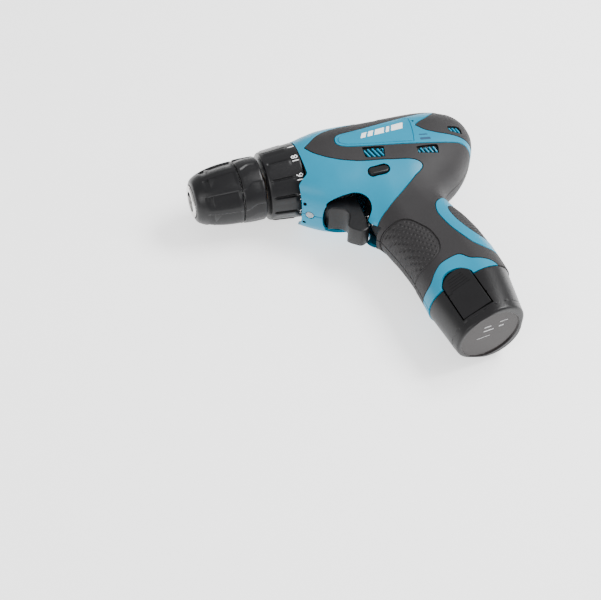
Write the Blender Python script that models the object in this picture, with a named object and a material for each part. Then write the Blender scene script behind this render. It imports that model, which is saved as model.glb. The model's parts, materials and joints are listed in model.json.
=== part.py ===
"""Pod-battery drill driver, built as an assembly of separate pieces.

Sizes below are in millimetres, and new_object() turns them into metres. In the tool's own
frame x runs back along the spindle from the chuck's nose, y is up from the spindle and z is
towards the tool's left side. The whole tool lies on its right side, so z points up and the
frame's origin is under the middle of the tool, on the surface that it lies on.
"""
import math

import bmesh
import bpy
from mathutils import Matrix, Vector

MM = 0.001

# Overall size of the tool
TOOL_LENGTH = 189.0
TOOL_TOP = 28.4
HALF_WIDTH = 26.5
SHELL_GAP = 0.3
PARTING_GAP = 0.15

# Round pieces
SIDES = 18
FINE_SIDES = 24

# Chuck
NOSE_R = 10.2
MOUTH_R = 6.6
SLEEVE_FRONT_X = 1.3
SLEEVE_REAR_X = 30.2
SLEEVE_R = 20.0
COLLAR_FRONT_X = 30.8
COLLAR_REAR_X = 45.2
COLLAR_R = 20.5
JAW_COUNT = 3
JAW_R = 2.9
JAW_SLOPE = math.radians(18.0)
JAW_LENGTH = 26.0
JAW_TIP_X = 2.5
JAW_OPEN_R = 3.2
JAW_LINE_R = 3.39

# Torque ring and clutch
RING_FRONT_X = 47.3
RING_REAR_X = 70.3
RING_FRONT_R = 21.8
RING_REAR_R = 23.9
CLUTCH_NUT_X = 50.6
CLUTCH_NUT_LENGTH = 2.8
CLUTCH_SPRING_X = (54.8, 67.2)
CLUTCH_WASHER_X = (68.6, 70.0)

# Gear train
CASE_R = 19.5
CASE_BORE_R = 17.2
RING_GEAR_R = 16.8
RING_PITCH_R = 14.9
TOOTH_SHORT = 0.15
TOOTH_DEPTH = 0.8
PIN_R = 1.5
FIRST_STAGE = {"sun": 12, "planet": 18, "ring": 48}
LATER_STAGE = {"sun": 17, "planet": 13, "ring": 43}
PLANET_COUNT = 3

# Motor
MOTOR_R = 16.5
MOTOR_X = (104.8, 148.0)
END_BELL_X = (148.4, 163.0)
SHAFT_R = 1.6

# Housing: x, top, bottom and half width of the body's section, and its upper squareness
BODY_STATIONS = (
    (64.3, 22.8, -29.0, 22.0, 2.1),
    (71.0, 23.6, -34.0, 23.8, 2.1),
    (80.0, 25.2, -39.5, 25.4, 2.2),
    (90.0, 26.5, -43.0, 26.3, 2.3),
    (104.0, 27.2, -45.0, HALF_WIDTH, 2.2),
    (118.0, 27.3, -45.0, HALF_WIDTH, 2.05),
    (140.0, 27.2, -45.0, HALF_WIDTH, 2.0),
    (156.0, 26.8, -42.0, 26.2, 2.0),
    (168.0, 25.6, -34.5, 24.6, 2.05),
    (176.0, 23.2, -26.0, 21.6, 2.1),
    (182.0, 18.8, -17.5, 16.6, 2.1),
    (186.0, 13.8, -10.5, 11.8, 2.05),
    (188.3, 8.0, -4.0, 6.0, 2.0),
    (TOOL_LENGTH, 5.0, 0.5, 2.2, 2.0),
)
BODY_LOWER_SQUARENESS = 2.7
BODY_ARC_STEPS = 6

# Grip: y, front x, rear x and half width of the section
GRIP_STATIONS = (
    (-16.0, 104.0, 154.0, 19.0),
    (-32.0, 101.5, 152.5, 20.4),
    (-46.0, 101.0, 151.5, 20.6),
    (-58.0, 101.5, 155.0, 20.4),
    (-72.0, 105.0, 160.0, 21.4),
    (-86.0, 108.6, 163.2, 22.1),
    (-102.0, 111.2, 165.2, 22.4),
    (-118.0, 112.2, 166.2, 22.6),
    (-134.0, 112.4, 166.6, 22.6),
)
GRIP_ROUND = 19.5
ROUND_STEPS = 4

# Battery pack, along its own axis from the middle of its bottom face
PACK_X = 142.3
PACK_Y = -152.5
PACK_TILT = 0.12
BASE_FRONT = 22.6
TOOL_LOW = PACK_Y - BASE_FRONT * math.sin(PACK_TILT)
PACK_SHOULDER = 31.0
PACK_STEM_TOP = 73.0
PACK_STATIONS = (
    (5.0, 24.6, 20.6, 22.1),
    (14.0, 25.0, 22.6, 22.4),
    (PACK_SHOULDER - SHELL_GAP, 26.0, 26.4, 22.6),
)
PACK_ROUND = 18.0
CELL_R = 9.05
CELL_LENGTH = 65.0
CELL_PLACES = ((-6.5, 0.0), (9.5, 9.25), (9.5, -9.25))
STEM_WALL = 0.9
CELL_GAP = 0.25

# Walls
WALL = 1.8
SKIN = 0.9

# Screws across the shells, heads in the right one: x, y, head's distance from the middle
SCREW_PLACES = (
    (77.5, -28.0, 13.0),
    (170.6, 5.3, 14.0),
    (113.6, -71.8, 9.0),
    (153.0, -66.0, 12.0),
    (146.0, -36.0, 12.0),
)
SCREW_SHANK_R = 1.5
SCREW_HEAD_R = 2.9
SCREW_HEAD_HEIGHT = 2.2
SCREW_REACH = 0.6
SCREW_ROOM = 0.4
SCREW_HEAD_ROOM = 0.5
SCREW_TIP_ROOM = 0.5
CUT_REACH = 45.0
BOSS_R = 4.0

# Edge of the soft cover as seen from the side, from its nose around the grip
COVER_EDGE = (
    (77.0, 4.0), (85.0, -3.5), (94.0, -10.5), (105.0, -15.5), (119.0, -18.5), (131.0, -20.5),
    (139.5, -23.5), (143.0, -28.5), (138.0, -36.0), (122.0, -49.0), (108.0, -61.0),
    (100.0, -69.0), (92.0, -78.0), (92.0, -118.0), (109.0, -122.0), (114.0, -116.0),
    (120.0, -109.0), (128.0, -104.0), (138.0, -101.5), (143.0, -102.0), (147.0, -106.0),
    (153.0, -107.5), (158.0, -109.5), (176.0, -112.0), (180.0, -60.0), (176.0, -40.0),
    (180.0, -24.0), (172.0, -19.5), (166.0, -16.5), (145.0, -11.0), (135.0, -9.0),
    (114.0, -4.5), (100.0, -1.5), (90.0, 3.0), (80.0, 8.0),
)

# Trigger and switch
TRIGGER_EDGE = (
    (79.0, -32.0), (98.6, -32.0), (98.6, -61.0), (94.0, -63.0), (87.6, -58.5), (86.4, -55.0),
    (88.6, -50.5), (89.6, -46.5), (88.0, -42.5), (84.0, -40.0), (79.0, -38.9),
)
TRIGGER_HALF_WIDTH = 9.5
TRIGGER_TRAVEL = 6.0
OPENING_EDGE = (
    (78.4, -37.8), (92.0, -37.8), (97.0, -39.0), (100.6, -43.0), (101.0, -50.0), (99.0, -57.0),
    (98.0, -66.0), (60.0, -66.0), (60.0, -52.0), (78.4, -52.0),
)
SPRING_AXIS_Y = -47.0
SWITCH_BOX = ((106.0, -61.0, -10.0), (134.0, -34.0, 10.0))

# Buttons
REVERSE_X = 114.0
REVERSE_Y = -29.0
REVERSE_LENGTH = 13.0
REVERSE_HEIGHT = 5.6
REVERSE_REACH = 25.0
SPEED_KNOB = ((120.8, 21.0, -4.8), (127.8, TOOL_TOP, 4.8))
SPEED_SLOT = ((116.6, 20.0, -5.3), (128.6, 32.0, 5.3))

# Latch tabs of the battery pack, along the pack's axis
TAB_LOW = 7.0
TAB_HIGH = 39.0
TAB_ACROSS = (-9.5, 10.0)
TAB_OUT = (19.4, 21.0)
TAB_TURN = math.radians(28.0)
TAB_ROOM = 3.2

COLOURS = {
    "blue_plastic": ((0.05, 0.6, 0.87, 1.0), 0.35, 0.0),
    "soft_rubber": ((0.07, 0.065, 0.07, 1.0), 0.75, 0.0),
    "black_plastic": ((0.025, 0.025, 0.027, 1.0), 0.42, 0.0),
    "bright_steel": ((0.62, 0.62, 0.63, 1.0), 0.28, 1.0),
    "dark_steel": ((0.2, 0.2, 0.21, 1.0), 0.4, 1.0),
    "sintered_bronze": ((0.5, 0.32, 0.16, 1.0), 0.5, 1.0),
    "grey_polymer": ((0.35, 0.35, 0.36, 1.0), 0.55, 0.0),
    "copper": ((0.75, 0.36, 0.2, 1.0), 0.4, 1.0),
    "clear_lens": ((0.9, 0.93, 0.95, 1.0), 0.1, 0.0),
    "cell_wrap": ((0.1, 0.35, 0.2, 1.0), 0.4, 0.0),
    "label": ((0.04, 0.036, 0.036, 1.0), 0.25, 0.0),
    "lead_red": ((0.55, 0.03, 0.03, 1.0), 0.5, 0.0),
}


# ---------------------------------------------------------------- helpers

def clear_scene():
    for item in list(bpy.data.objects):
        bpy.data.objects.remove(item, do_unlink=True)


def material(name):
    found = bpy.data.materials.get(name)
    if found:
        return found
    colour, roughness, metallic = COLOURS[name]
    made = bpy.data.materials.new(name)
    made.use_nodes = True
    shader = made.node_tree.nodes["Principled BSDF"]
    shader.inputs["Base Color"].default_value = colour
    shader.inputs["Roughness"].default_value = roughness
    shader.inputs["Metallic"].default_value = metallic
    made.diffuse_color = colour
    return made


def make_tool_frame():
    """Empty that carries the tool's own frame to where the tool lies."""
    empty = bpy.data.objects.new("tool_frame", None)
    middle_y = (TOOL_TOP + TOOL_LOW) / 2
    empty.location = (-TOOL_LENGTH / 2 * MM, -middle_y * MM, HALF_WIDTH * MM)
    bpy.context.collection.objects.link(empty)
    return empty


def new_object(name, mesh, material_name, origin=(0, 0, 0)):
    """Object whose mesh is given in the tool's frame, with its own origin on its joint."""
    bmesh.ops.recalc_face_normals(mesh, faces=mesh.faces)
    bmesh.ops.translate(mesh, verts=mesh.verts, vec=-Vector(origin))
    bmesh.ops.scale(mesh, verts=mesh.verts, vec=(MM, MM, MM))
    data = bpy.data.meshes.new(name)
    mesh.to_mesh(data)
    mesh.free()
    data.materials.append(material(material_name))
    data.shade_smooth()
    data.set_sharp_from_angle(angle=math.radians(32))
    made = bpy.data.objects.new(name, data)
    made.location = Vector(origin) * MM
    made.parent = bpy.data.objects["tool_frame"]
    bpy.context.collection.objects.link(made)
    return made


def new_cutter(name, mesh):
    cutter = new_object(name, mesh, "grey_polymer")
    cutter.hide_render = True
    cutter.display_type = "WIRE"
    return cutter


def combine(target, other, operation="DIFFERENCE"):
    step = target.modifiers.new(operation.lower() + "_" + other.name, "BOOLEAN")
    step.operation = operation
    step.solver = "EXACT"
    step.object = other
    return target


def loft(loops, closed=False, split=False):
    """Mesh through loops of equal length, capped at both ends unless it closes on itself.

    Twisted faces are split the same way each time, so that nested lofts stay apart.
    """
    mesh = bmesh.new()
    rings = [[mesh.verts.new(point) for point in loop] for loop in loops]
    pairs = list(zip(rings, rings[1:]))
    if closed:
        pairs.append((rings[-1], rings[0]))
    for first, second in pairs:
        for i in range(len(first)):
            j = (i + 1) % len(first)
            if split:
                mesh.faces.new((first[i], first[j], second[j]))
                mesh.faces.new((first[i], second[j], second[i]))
            else:
                mesh.faces.new((first[i], first[j], second[j], second[i]))
    if not closed:
        mesh.faces.new(rings[0])
        mesh.faces.new(rings[-1])
    return mesh


def prism(outline, low, high):
    """Outline in x and y, extruded from z = low to z = high."""
    return loft([[(x, y, z) for x, y in outline] for z in (low, high)])


def block(low, high):
    outline = ((low[0], low[1]), (high[0], low[1]), (high[0], high[1]), (low[0], high[1]))
    return prism(outline, low[2], high[2])


def circle(radius, sides, turn=0.0):
    angles = [turn + 2 * math.pi * i / sides for i in range(sides)]
    return [(radius * math.cos(a), radius * math.sin(a)) for a in angles]


def turned(profile, sides=SIDES):
    """Ring-shaped piece: a closed profile of (x, radius) turned about the spindle axis."""
    loops = [[(x, y, z) for y, z in circle(radius, sides)] for x, radius in profile]
    return loft(loops, closed=True)


def solid_turned(profile, sides=SIDES):
    """Solid piece: an open profile of (x, radius), closed by a flat face at each end."""
    return loft([[(x, y, z) for y, z in circle(radius, sides)] for x, radius in profile])


def cylinder_between(start, end, radius, sides=16):
    start = Vector(start)
    along = Vector(end) - start
    turn = along.to_track_quat("Z", "Y").to_matrix()
    ring = [turn @ Vector((a, b, 0)) for a, b in circle(radius, sides, math.pi / sides)]
    return loft([[start + step * along + p for p in ring] for step in (0, 1)])


def coil(start_x, end_x, radius, wire, turns, centre_y=0.0, steps=12, wire_sides=6):
    """Compression spring about an axis along x."""
    loops = []
    count = turns * steps
    pitch_slope = math.atan2((end_x - start_x) / turns, 2 * math.pi * radius)
    for i in range(count + 1):
        angle = 2 * math.pi * i / steps
        x = start_x + (end_x - start_x) * i / count
        out = Vector((0, math.cos(angle), math.sin(angle)))
        along = Vector((math.sin(pitch_slope), 0, 0))
        along += math.cos(pitch_slope) * Vector((0, -math.sin(angle), math.cos(angle)))
        across = along.cross(out)
        centre = Vector((x, centre_y, 0)) + radius * out
        loops.append([centre + a * out + b * across for a, b in circle(wire, wire_sides)])
    return loft(loops)


# ---------------------------------------------------------------- housing blanks

def body_section(x, top, bottom, half_width, squareness, inset=0.0):
    """Section of the body: two half superellipses, the lower one squarer."""
    points = []
    steps = 2 * BODY_ARC_STEPS
    for i in range(2 * steps):
        angle = math.pi * i / steps
        upper = angle < math.pi
        power = 2 / (squareness if upper else BODY_LOWER_SQUARENESS)
        height = (top if upper else -bottom) - inset
        cos, sin = math.cos(angle), math.sin(angle)
        z = (half_width - inset) * math.copysign(abs(cos) ** power, cos)
        y = height * math.copysign(abs(sin) ** power, sin)
        points.append((x, y, z))
    return points


def body_blank(inset=0.0):
    loops = []
    for x, top, bottom, half_width, squareness in BODY_STATIONS:
        last = x > BODY_STATIONS[-4][0]
        if inset and last:
            continue
        loops.append(body_section(x, top, bottom, half_width, squareness, inset))
    return loft(loops, split=True)


def pod_outline(front, rear, half_width, radius, steps=ROUND_STEPS):
    """Rounded triangle about (0, 0): one round corner in front and two at the rear."""
    corners = ((-front + radius, 0.0), (rear - radius, -(half_width - radius)),
               (rear - radius, half_width - radius))
    points = []
    for index, (cx, cy) in enumerate(corners):
        after = Vector(corners[(index + 1) % 3]) - Vector((cx, cy))
        before = Vector((cx, cy)) - Vector(corners[index - 1])
        first = math.atan2(-before.x, before.y)
        last = math.atan2(-after.x, after.y)
        while last < first:
            last += 2 * math.pi
        for i in range(steps + 1):
            angle = first + (last - first) * i / steps
            points.append((cx + radius * math.cos(angle), cy + radius * math.sin(angle)))
    return points


def grip_section(y, front_x, rear_x, half_width, inset=0.0):
    middle = (front_x + rear_x) / 2
    half = (rear_x - front_x) / 2 - inset
    outline = pod_outline(half, half, half_width - inset, GRIP_ROUND - inset)
    return [(middle + a, y, b) for a, b in outline]


def grip_blank(inset=0.0):
    """Grip as a loft; a smaller one runs further down, so that its end never meets the first."""
    loops = [grip_section(*station, inset=inset) for station in GRIP_STATIONS]
    if inset:
        y, front_x, rear_x, half_width = GRIP_STATIONS[-1]
        loops.append(grip_section(y - 4 * inset, front_x, rear_x, half_width, inset))
    return loft(loops, split=True)


def pack_point(along_x, up, z):
    """Point given on the battery pack's own axes, in the tool's frame."""
    cos, sin = math.cos(PACK_TILT), math.sin(PACK_TILT)
    return (PACK_X + along_x * cos - up * sin, PACK_Y + along_x * sin + up * cos, z)


def pack_loft(levels, outlines):
    return loft([[pack_point(a, up, b) for a, b in outline]
                 for up, outline in zip(levels, outlines)])


def pack_block(low, high):
    loops = []
    for z in (low[2], high[2]):
        corners = ((low[0], low[1]), (high[0], low[1]), (high[0], high[1]), (low[0], high[1]))
        loops.append([pack_point(a, up, z) for a, up in corners])
    return loft(loops)


def tab_block(side, across, up, out):
    """Block on the pack's slanted side face: across the face, up the pack and outwards."""
    loops = []
    for distance in out:
        corners = ((across[0], up[0]), (across[1], up[0]), (across[1], up[1]), (across[0], up[1]))
        loops.append([tab_point(side, a, u, distance) for a, u in corners])
    return loft(loops)


def tab_point(side, across, up, out):
    cos, sin = math.cos(TAB_TURN), math.sin(TAB_TURN)
    return pack_point(across * cos - out * sin, up, side * (across * sin + out * cos))


def half_space(side, gap=PARTING_GAP):
    """Box that holds everything on one side of the parting plane."""
    far = 60.0 * side
    near = gap * side
    low, high = min(near, far), max(near, far)
    return block((40.0, -200.0, low), (220.0, 60.0, high))


def grown(outline, by):
    """Outline moved outwards by a small distance, corner by corner."""
    area = sum(a[0] * b[1] - b[0] * a[1] for a, b in zip(outline, outline[1:] + outline[:1]))
    way = 1.0 if area > 0 else -1.0
    points = []
    for before, here, after in zip(outline[-1:] + outline[:-1], outline, outline[1:] + outline[:1]):
        first = (Vector(here) - Vector(before)).normalized()
        second = (Vector(after) - Vector(here)).normalized()
        normal = Vector((first.y + second.y, -first.x - second.x)).normalized() * way
        points.append((here[0] + normal.x * by, here[1] + normal.y * by))
    return points


# ---------------------------------------------------------------- housing

def housing_cutters():
    """Guide solids that both housing shells and both soft covers are cut with."""
    made = {}
    made["grip"] = new_cutter("guide_grip", grip_blank())
    made["skin_body"] = new_cutter("guide_skin_body", body_blank(SKIN))
    made["skin_grip"] = new_cutter("guide_skin_grip", grip_blank(SKIN))
    made["floor_body"] = new_cutter("guide_floor_body", body_blank(SKIN + SHELL_GAP))
    made["floor_grip"] = new_cutter("guide_floor_grip", grip_blank(SKIN + SHELL_GAP))
    made["cavity"] = new_cutter("guide_cavity", body_blank(WALL))
    cavity_grip = new_cutter("guide_cavity_grip", grip_blank(WALL))
    combine(made["cavity"], cavity_grip, "UNION")
    made["front_wall"] = new_cutter("guide_front_wall", block((50, -60, -40), (74.8, 40, 40)))
    combine(made["cavity"], made["front_wall"])
    for index, place in enumerate(SCREW_PLACES, 1):
        boss = new_cutter("guide_boss_%d" % index,
                          cylinder_between((*place[:2], -CUT_REACH), (*place[:2], CUT_REACH), BOSS_R, 10))
        combine(made["cavity"], boss)
    made["opening"] = new_cutter("guide_opening", prism(OPENING_EDGE, -40, 40))
    made["slot"] = new_cutter("guide_trigger_slot", block((74.9, -62.4, -10.2), (112, -31, 10.2)))
    made["ring_room"] = new_cutter("guide_ring_room",
                                   solid_turned(((50, 24.5), (71.0, 24.5)), FINE_SIDES))
    made["case_room"] = new_cutter("guide_case_room",
                                   solid_turned(((66, 22.0), (78.0, 22.0)), FINE_SIDES))
    made["end"] = new_cutter("guide_grip_end",
                             pack_block((-60, -60, -40), (60, PACK_SHOULDER, 40)))
    made["reverse"] = new_cutter("guide_reverse_hole", reverse_bar(CUT_REACH, 0.45))
    made["speed"] = new_cutter("guide_speed_slot", block(*SPEED_SLOT))
    made["lamp"] = new_cutter("guide_lamp_hole", lamp_cylinder(3.0, 3.0))
    for side, name in ((1, "left"), (-1, "right")):
        made["half_" + name] = new_cutter("guide_half_" + name, half_space(side))
        across = (TAB_ACROSS[0] - 0.6, TAB_ACROSS[1] + 0.6)
        notch = tab_block(side, across, (0, TAB_HIGH + 0.6), (TAB_OUT[0] - TAB_ROOM, 40.0))
        made["notch_" + name] = new_cutter("guide_notch_" + name, notch)
    return made


def cover_pocket(name, cutters):
    """Solid that the soft cover takes out of a shell, with the gap around it."""
    low, high = (-0.5, CUT_REACH) if name == "left" else (-CUT_REACH, 0.5)
    edge = grown(list(COVER_EDGE), SHELL_GAP)
    pocket = new_cutter("guide_pocket_" + name, prism(edge, low, high))
    combine(pocket, cutters["floor_body"])
    combine(pocket, cutters["floor_grip"])
    return pocket


def housing_shell(name, cutters):
    shell = new_object("housing_" + name, body_blank(), "blue_plastic")
    combine(shell, cutters["grip"], "UNION")
    combine(shell, cutters["ring_room"])
    combine(shell, cutters["cavity"])
    combine(shell, cutters["case_room"])
    combine(shell, cutters["half_" + name], "INTERSECT")
    for key in ("opening", "slot", "end", "reverse", "speed", "lamp", "notch_" + name):
        combine(shell, cutters[key])
    combine(shell, cover_pocket(name, cutters))
    for index in range(1, len(SCREW_PLACES) + 1):
        combine(shell, bpy.data.objects["guide_screw_%d" % index])
    return shell


def soft_cover(name, cutters):
    low, high = (PARTING_GAP, CUT_REACH) if name == "left" else (-CUT_REACH, -PARTING_GAP)
    cover = new_object("soft_cover_" + name, prism(COVER_EDGE, low, high), "soft_rubber")
    outer = new_cutter("guide_outer_" + name, body_blank())
    combine(outer, cutters["grip"], "UNION")
    combine(cover, outer, "INTERSECT")
    combine(cover, cutters["skin_body"])
    combine(cover, cutters["skin_grip"])
    for index in range(1, len(SCREW_PLACES) + 1):
        combine(cover, bpy.data.objects["guide_screw_%d" % index])
    return cover


def screw_room():
    """Hole and head recess for each housing screw."""
    for index, (x, y, depth) in enumerate(SCREW_PLACES, 1):
        hole = new_cutter("guide_screw_%d" % index,
                          cylinder_between((x, y, -CUT_REACH), (x, y, SCREW_REACH * depth + SCREW_TIP_ROOM),
                                           SCREW_SHANK_R + SCREW_ROOM, 8))
        recess = new_cutter("guide_recess_%d" % index,
                            cylinder_between((x, y, -CUT_REACH), (x, y, -depth),
                                             SCREW_HEAD_R + SCREW_HEAD_ROOM, 8))
        combine(hole, recess, "UNION")


def housing_screws():
    for index, (x, y, depth) in enumerate(SCREW_PLACES, 1):
        seat = -depth - PARTING_GAP
        radii = ((seat - SCREW_HEAD_HEIGHT, SCREW_HEAD_R * 0.8), (seat, SCREW_HEAD_R),
                 (seat, SCREW_SHANK_R), (SCREW_REACH * depth, SCREW_SHANK_R))
        loops = [[(x + a, y + b, z) for a, b in circle(r, 8)] for z, r in radii]
        new_object("housing_screw_%d" % index, loft(loops), "dark_steel", (x, y, seat))


# ---------------------------------------------------------------- chuck

def chuck_sleeve_profile():
    steps = 5
    outer = []
    length = SLEEVE_REAR_X - SLEEVE_FRONT_X
    for i in range(steps + 1):
        t = i / steps
        rise = math.sin(math.pi / 2 * t) ** 0.72
        outer.append((SLEEVE_FRONT_X + length * t ** 1.35, 11.6 + (SLEEVE_R - 11.6) * rise))
    inner = [(SLEEVE_REAR_X, 17.7), (12.0, 17.7), (8.5, 13.4), (4.2, 10.7), (SLEEVE_FRONT_X, 10.7)]
    return outer + inner


def chuck():
    front_sleeve = new_object("chuck_front_sleeve", turned(chuck_sleeve_profile(), FINE_SIDES),
                              "black_plastic")
    collar = ((COLLAR_FRONT_X, 17.7), (COLLAR_FRONT_X, 20.1), (32.0, COLLAR_R), (43.6, COLLAR_R),
              (COLLAR_REAR_X, 19.3), (COLLAR_REAR_X, 10.6), (42.6, 10.6), (42.6, 17.7))
    new_object("chuck_rear_collar", turned(collar, FINE_SIDES), "black_plastic")
    body = ((0.0, MOUTH_R), (0.0, NOSE_R - 0.6), (0.6, NOSE_R), (4.6, NOSE_R), (8.6, 12.8),
            (12.4, 17.2), (20.4, 17.2), (20.4, 12.4), (26.8, 12.4), (26.8, 17.2), (42.0, 17.2),
            (42.0, 9.8), (45.0, 9.8), (45.0, 5.1), (27.8, 5.1), (27.8, 5.0), (14.0, 5.2))
    chuck_body = new_object("chuck_body", turned(body, FINE_SIDES), "bright_steel")
    nut = ((20.9, 15.3), (20.9, 17.3), (26.3, 17.3), (26.3, 15.3))
    new_object("chuck_nut", turned(nut), "dark_steel")
    for index in range(JAW_COUNT):
        turn = Matrix.Rotation(2 * math.pi * index / JAW_COUNT, 3, "X")
        chuck_jaw(index + 1, turn, chuck_body)
    screw = ((24.4, 4.1), (27.2, 4.1), (27.2, 2.4), (40.0, 2.4))
    new_object("chuck_screw", solid_turned(screw, 16), "dark_steel")


def chuck_jaw(number, turn, chuck_body):
    """Jaw on its inclined line; its gripping edge stays parallel to the spindle."""
    along = turn @ Vector((math.cos(JAW_SLOPE), math.sin(JAW_SLOPE), 0))
    tip = turn @ Vector((JAW_TIP_X, JAW_LINE_R + JAW_TIP_X * math.tan(JAW_SLOPE), 0))
    mesh = cylinder_between(tip - 2 * along, tip + JAW_LENGTH * along, JAW_R, 8)
    everything = mesh.verts[:] + mesh.edges[:] + mesh.faces[:]
    bmesh.ops.bisect_plane(mesh, geom=everything, plane_co=(JAW_TIP_X, 0, 0),
                           plane_no=(-1, 0, 0), clear_outer=True)
    bmesh.ops.holes_fill(mesh, edges=[e for e in mesh.edges if e.is_boundary])
    for side in (-1, 1):
        edge_r = JAW_OPEN_R + PARTING_GAP
        point = turn @ Vector((0, edge_r, 0))
        outward = turn @ Vector((0, -math.sin(math.pi / 6), 0))
        outward += turn @ Vector((0, 0, side * math.cos(math.pi / 6)))
        everything = mesh.verts[:] + mesh.edges[:] + mesh.faces[:]
        bmesh.ops.bisect_plane(mesh, geom=everything, plane_co=point,
                               plane_no=outward.normalized(), clear_outer=True)
        bmesh.ops.holes_fill(mesh, edges=[e for e in mesh.edges if e.is_boundary])
    new_object("chuck_jaw_%d" % number, mesh, "dark_steel", tuple(tip))
    bore = new_cutter("guide_jaw_bore_%d" % number,
                      cylinder_between(tip - 30 * along, tip + 45 * along, JAW_R + 0.45, 8))
    combine(chuck_body, bore)


# ---------------------------------------------------------------- clutch and spindle

def clutch():
    ring = ((RING_FRONT_X, 12.6), (RING_FRONT_X, RING_FRONT_R - 1.0),
            (RING_FRONT_X + 1.0, RING_FRONT_R), (RING_REAR_X - 0.8, RING_REAR_R),
            (RING_REAR_X, RING_REAR_R - 0.6), (RING_REAR_X, 20.6), (49.8, 20.0), (49.8, 12.6))
    new_object("torque_ring", turned(ring, FINE_SIDES), "black_plastic")
    nut_end = CLUTCH_NUT_X + CLUTCH_NUT_LENGTH
    nut = ((CLUTCH_NUT_X, 12.2), (CLUTCH_NUT_X, 19.2), (nut_end, 19.2), (nut_end, 12.2))
    new_object("clutch_nut", turned(nut, 24), "dark_steel")
    first, last = CLUTCH_SPRING_X
    new_object("clutch_spring", coil(first, last, 15.2, 1.0, 4, steps=9, wire_sides=4), "bright_steel")
    first, last = CLUTCH_WASHER_X
    washer = ((first, 12.2), (first, 18.6), (last, 18.6), (last, 12.2))
    new_object("clutch_washer", turned(washer, 24), "bright_steel")


def spindle_parts():
    """Output spindle with the last stage's carrier and its planet pins in one piece."""
    profile = ((28.4, 2.8), (28.4, 4.7), (45.3, 4.7), (45.3, 5.6), (74.4, 5.6), (74.4, 13.6),
               (76.8, 13.6), (76.8, 1.4), (41.0, 1.4), (41.0, 2.8))
    spindle = new_object("spindle", turned(profile, 24), "bright_steel")
    add_pins(spindle, LATER_STAGE, 76.4, 83.0)
    for name, first, last in (("spindle_bush_front", 49.0, 55.0), ("spindle_bush_rear", 64.0, 70.6)):
        bush = ((first, 5.9), (first, 8.4), (last, 8.4), (last, 5.9))
        new_object(name, turned(bush, 20), "sintered_bronze")


def gear_case():
    profile = ((48.6, 8.7), (48.6, 11.8), (71.6, 11.8), (71.6, 21.6), (74.2, 21.6), (74.2, CASE_R),
               (102.4, CASE_R), (102.4, CASE_BORE_R), (73.4, CASE_BORE_R), (73.4, 8.7))
    case = new_object("gear_case", turned(profile, FINE_SIDES), "dark_steel")
    slot = new_cutter("guide_fork_slot", block((82.0, 12.0, -3.0), (96.0, 25.0, 3.0)))
    combine(case, slot)


# ---------------------------------------------------------------- planetary gears

def stage_radii(stage):
    module = 2 * RING_PITCH_R / stage["ring"]
    sun = module * stage["sun"] / 2
    planet = module * stage["planet"] / 2
    return sun, planet, sun + planet


def toothed_circle(radius, depth, teeth, turn=0.0):
    """Tooth outline with its tips on radius and its roots depth away."""
    points = []
    for i in range(2 * teeth):
        angle = turn + math.pi * i / teeth
        r = radius if i % 2 == 0 else radius - depth
        points.append((r * math.cos(angle), r * math.sin(angle)))
    return points


def place_ring(outline, x, centre=(0.0, 0.0)):
    return [(x, a + centre[0], b + centre[1]) for a, b in outline]


def gear_wheel(outline, bore_outline, first_x, last_x, centre):
    """Wheel with a bore: side walls and flat faces between two outlines."""
    mesh = bmesh.new()
    edges = {}
    for key, ring in (("outer", outline), ("inner", bore_outline)):
        for x in (first_x, last_x):
            verts = [mesh.verts.new(p) for p in place_ring(ring, x, centre)]
            loop = [mesh.edges.new((a, b)) for a, b in zip(verts, verts[1:] + verts[:1])]
            edges[key, x] = (verts, loop)
        low, high = edges[key, first_x][0], edges[key, last_x][0]
        for i in range(len(low)):
            j = (i + 1) % len(low)
            mesh.faces.new((low[i], low[j], high[j], high[i]))
    for x in (first_x, last_x):
        loop = edges["outer", x][1] + edges["inner", x][1]
        bmesh.ops.triangle_fill(mesh, use_beauty=True, edges=loop)
    return mesh


def planet_gears(number, stage, first_x, last_x):
    planet_r, centre_r = stage_radii(stage)[1:]
    for index in range(PLANET_COUNT):
        angle = 2 * math.pi * index / PLANET_COUNT
        centre = (centre_r * math.cos(angle), centre_r * math.sin(angle))
        outline = toothed_circle(planet_r - TOOTH_SHORT, TOOTH_DEPTH, stage["planet"])
        mesh = gear_wheel(outline, circle(PIN_R + 0.3, 8), first_x, last_x, centre)
        origin = ((first_x + last_x) / 2, centre[0], centre[1])
        new_object("planet_gear_%d_%d" % (number, index + 1), mesh, "dark_steel", origin)


def ring_gear(number, stage, first_x, last_x):
    teeth = toothed_circle(RING_PITCH_R + TOOTH_SHORT, -TOOTH_DEPTH, stage["ring"])
    mesh = gear_wheel(circle(RING_GEAR_R, 24), teeth, first_x, last_x, (0.0, 0.0))
    new_object("ring_gear_%d" % number, mesh, "grey_polymer")


def add_pins(carrier, stage, first_x, last_x):
    centre_r = stage_radii(stage)[2]
    for index in range(PLANET_COUNT):
        angle = 2 * math.pi * index / PLANET_COUNT
        y, z = centre_r * math.cos(angle), centre_r * math.sin(angle)
        name = "guide_pin_%s_%d" % (carrier.name, index + 1)
        pin = new_cutter(name, cylinder_between((first_x, y, z), (last_x, y, z), PIN_R, 8))
        combine(carrier, pin, "UNION")


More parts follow.
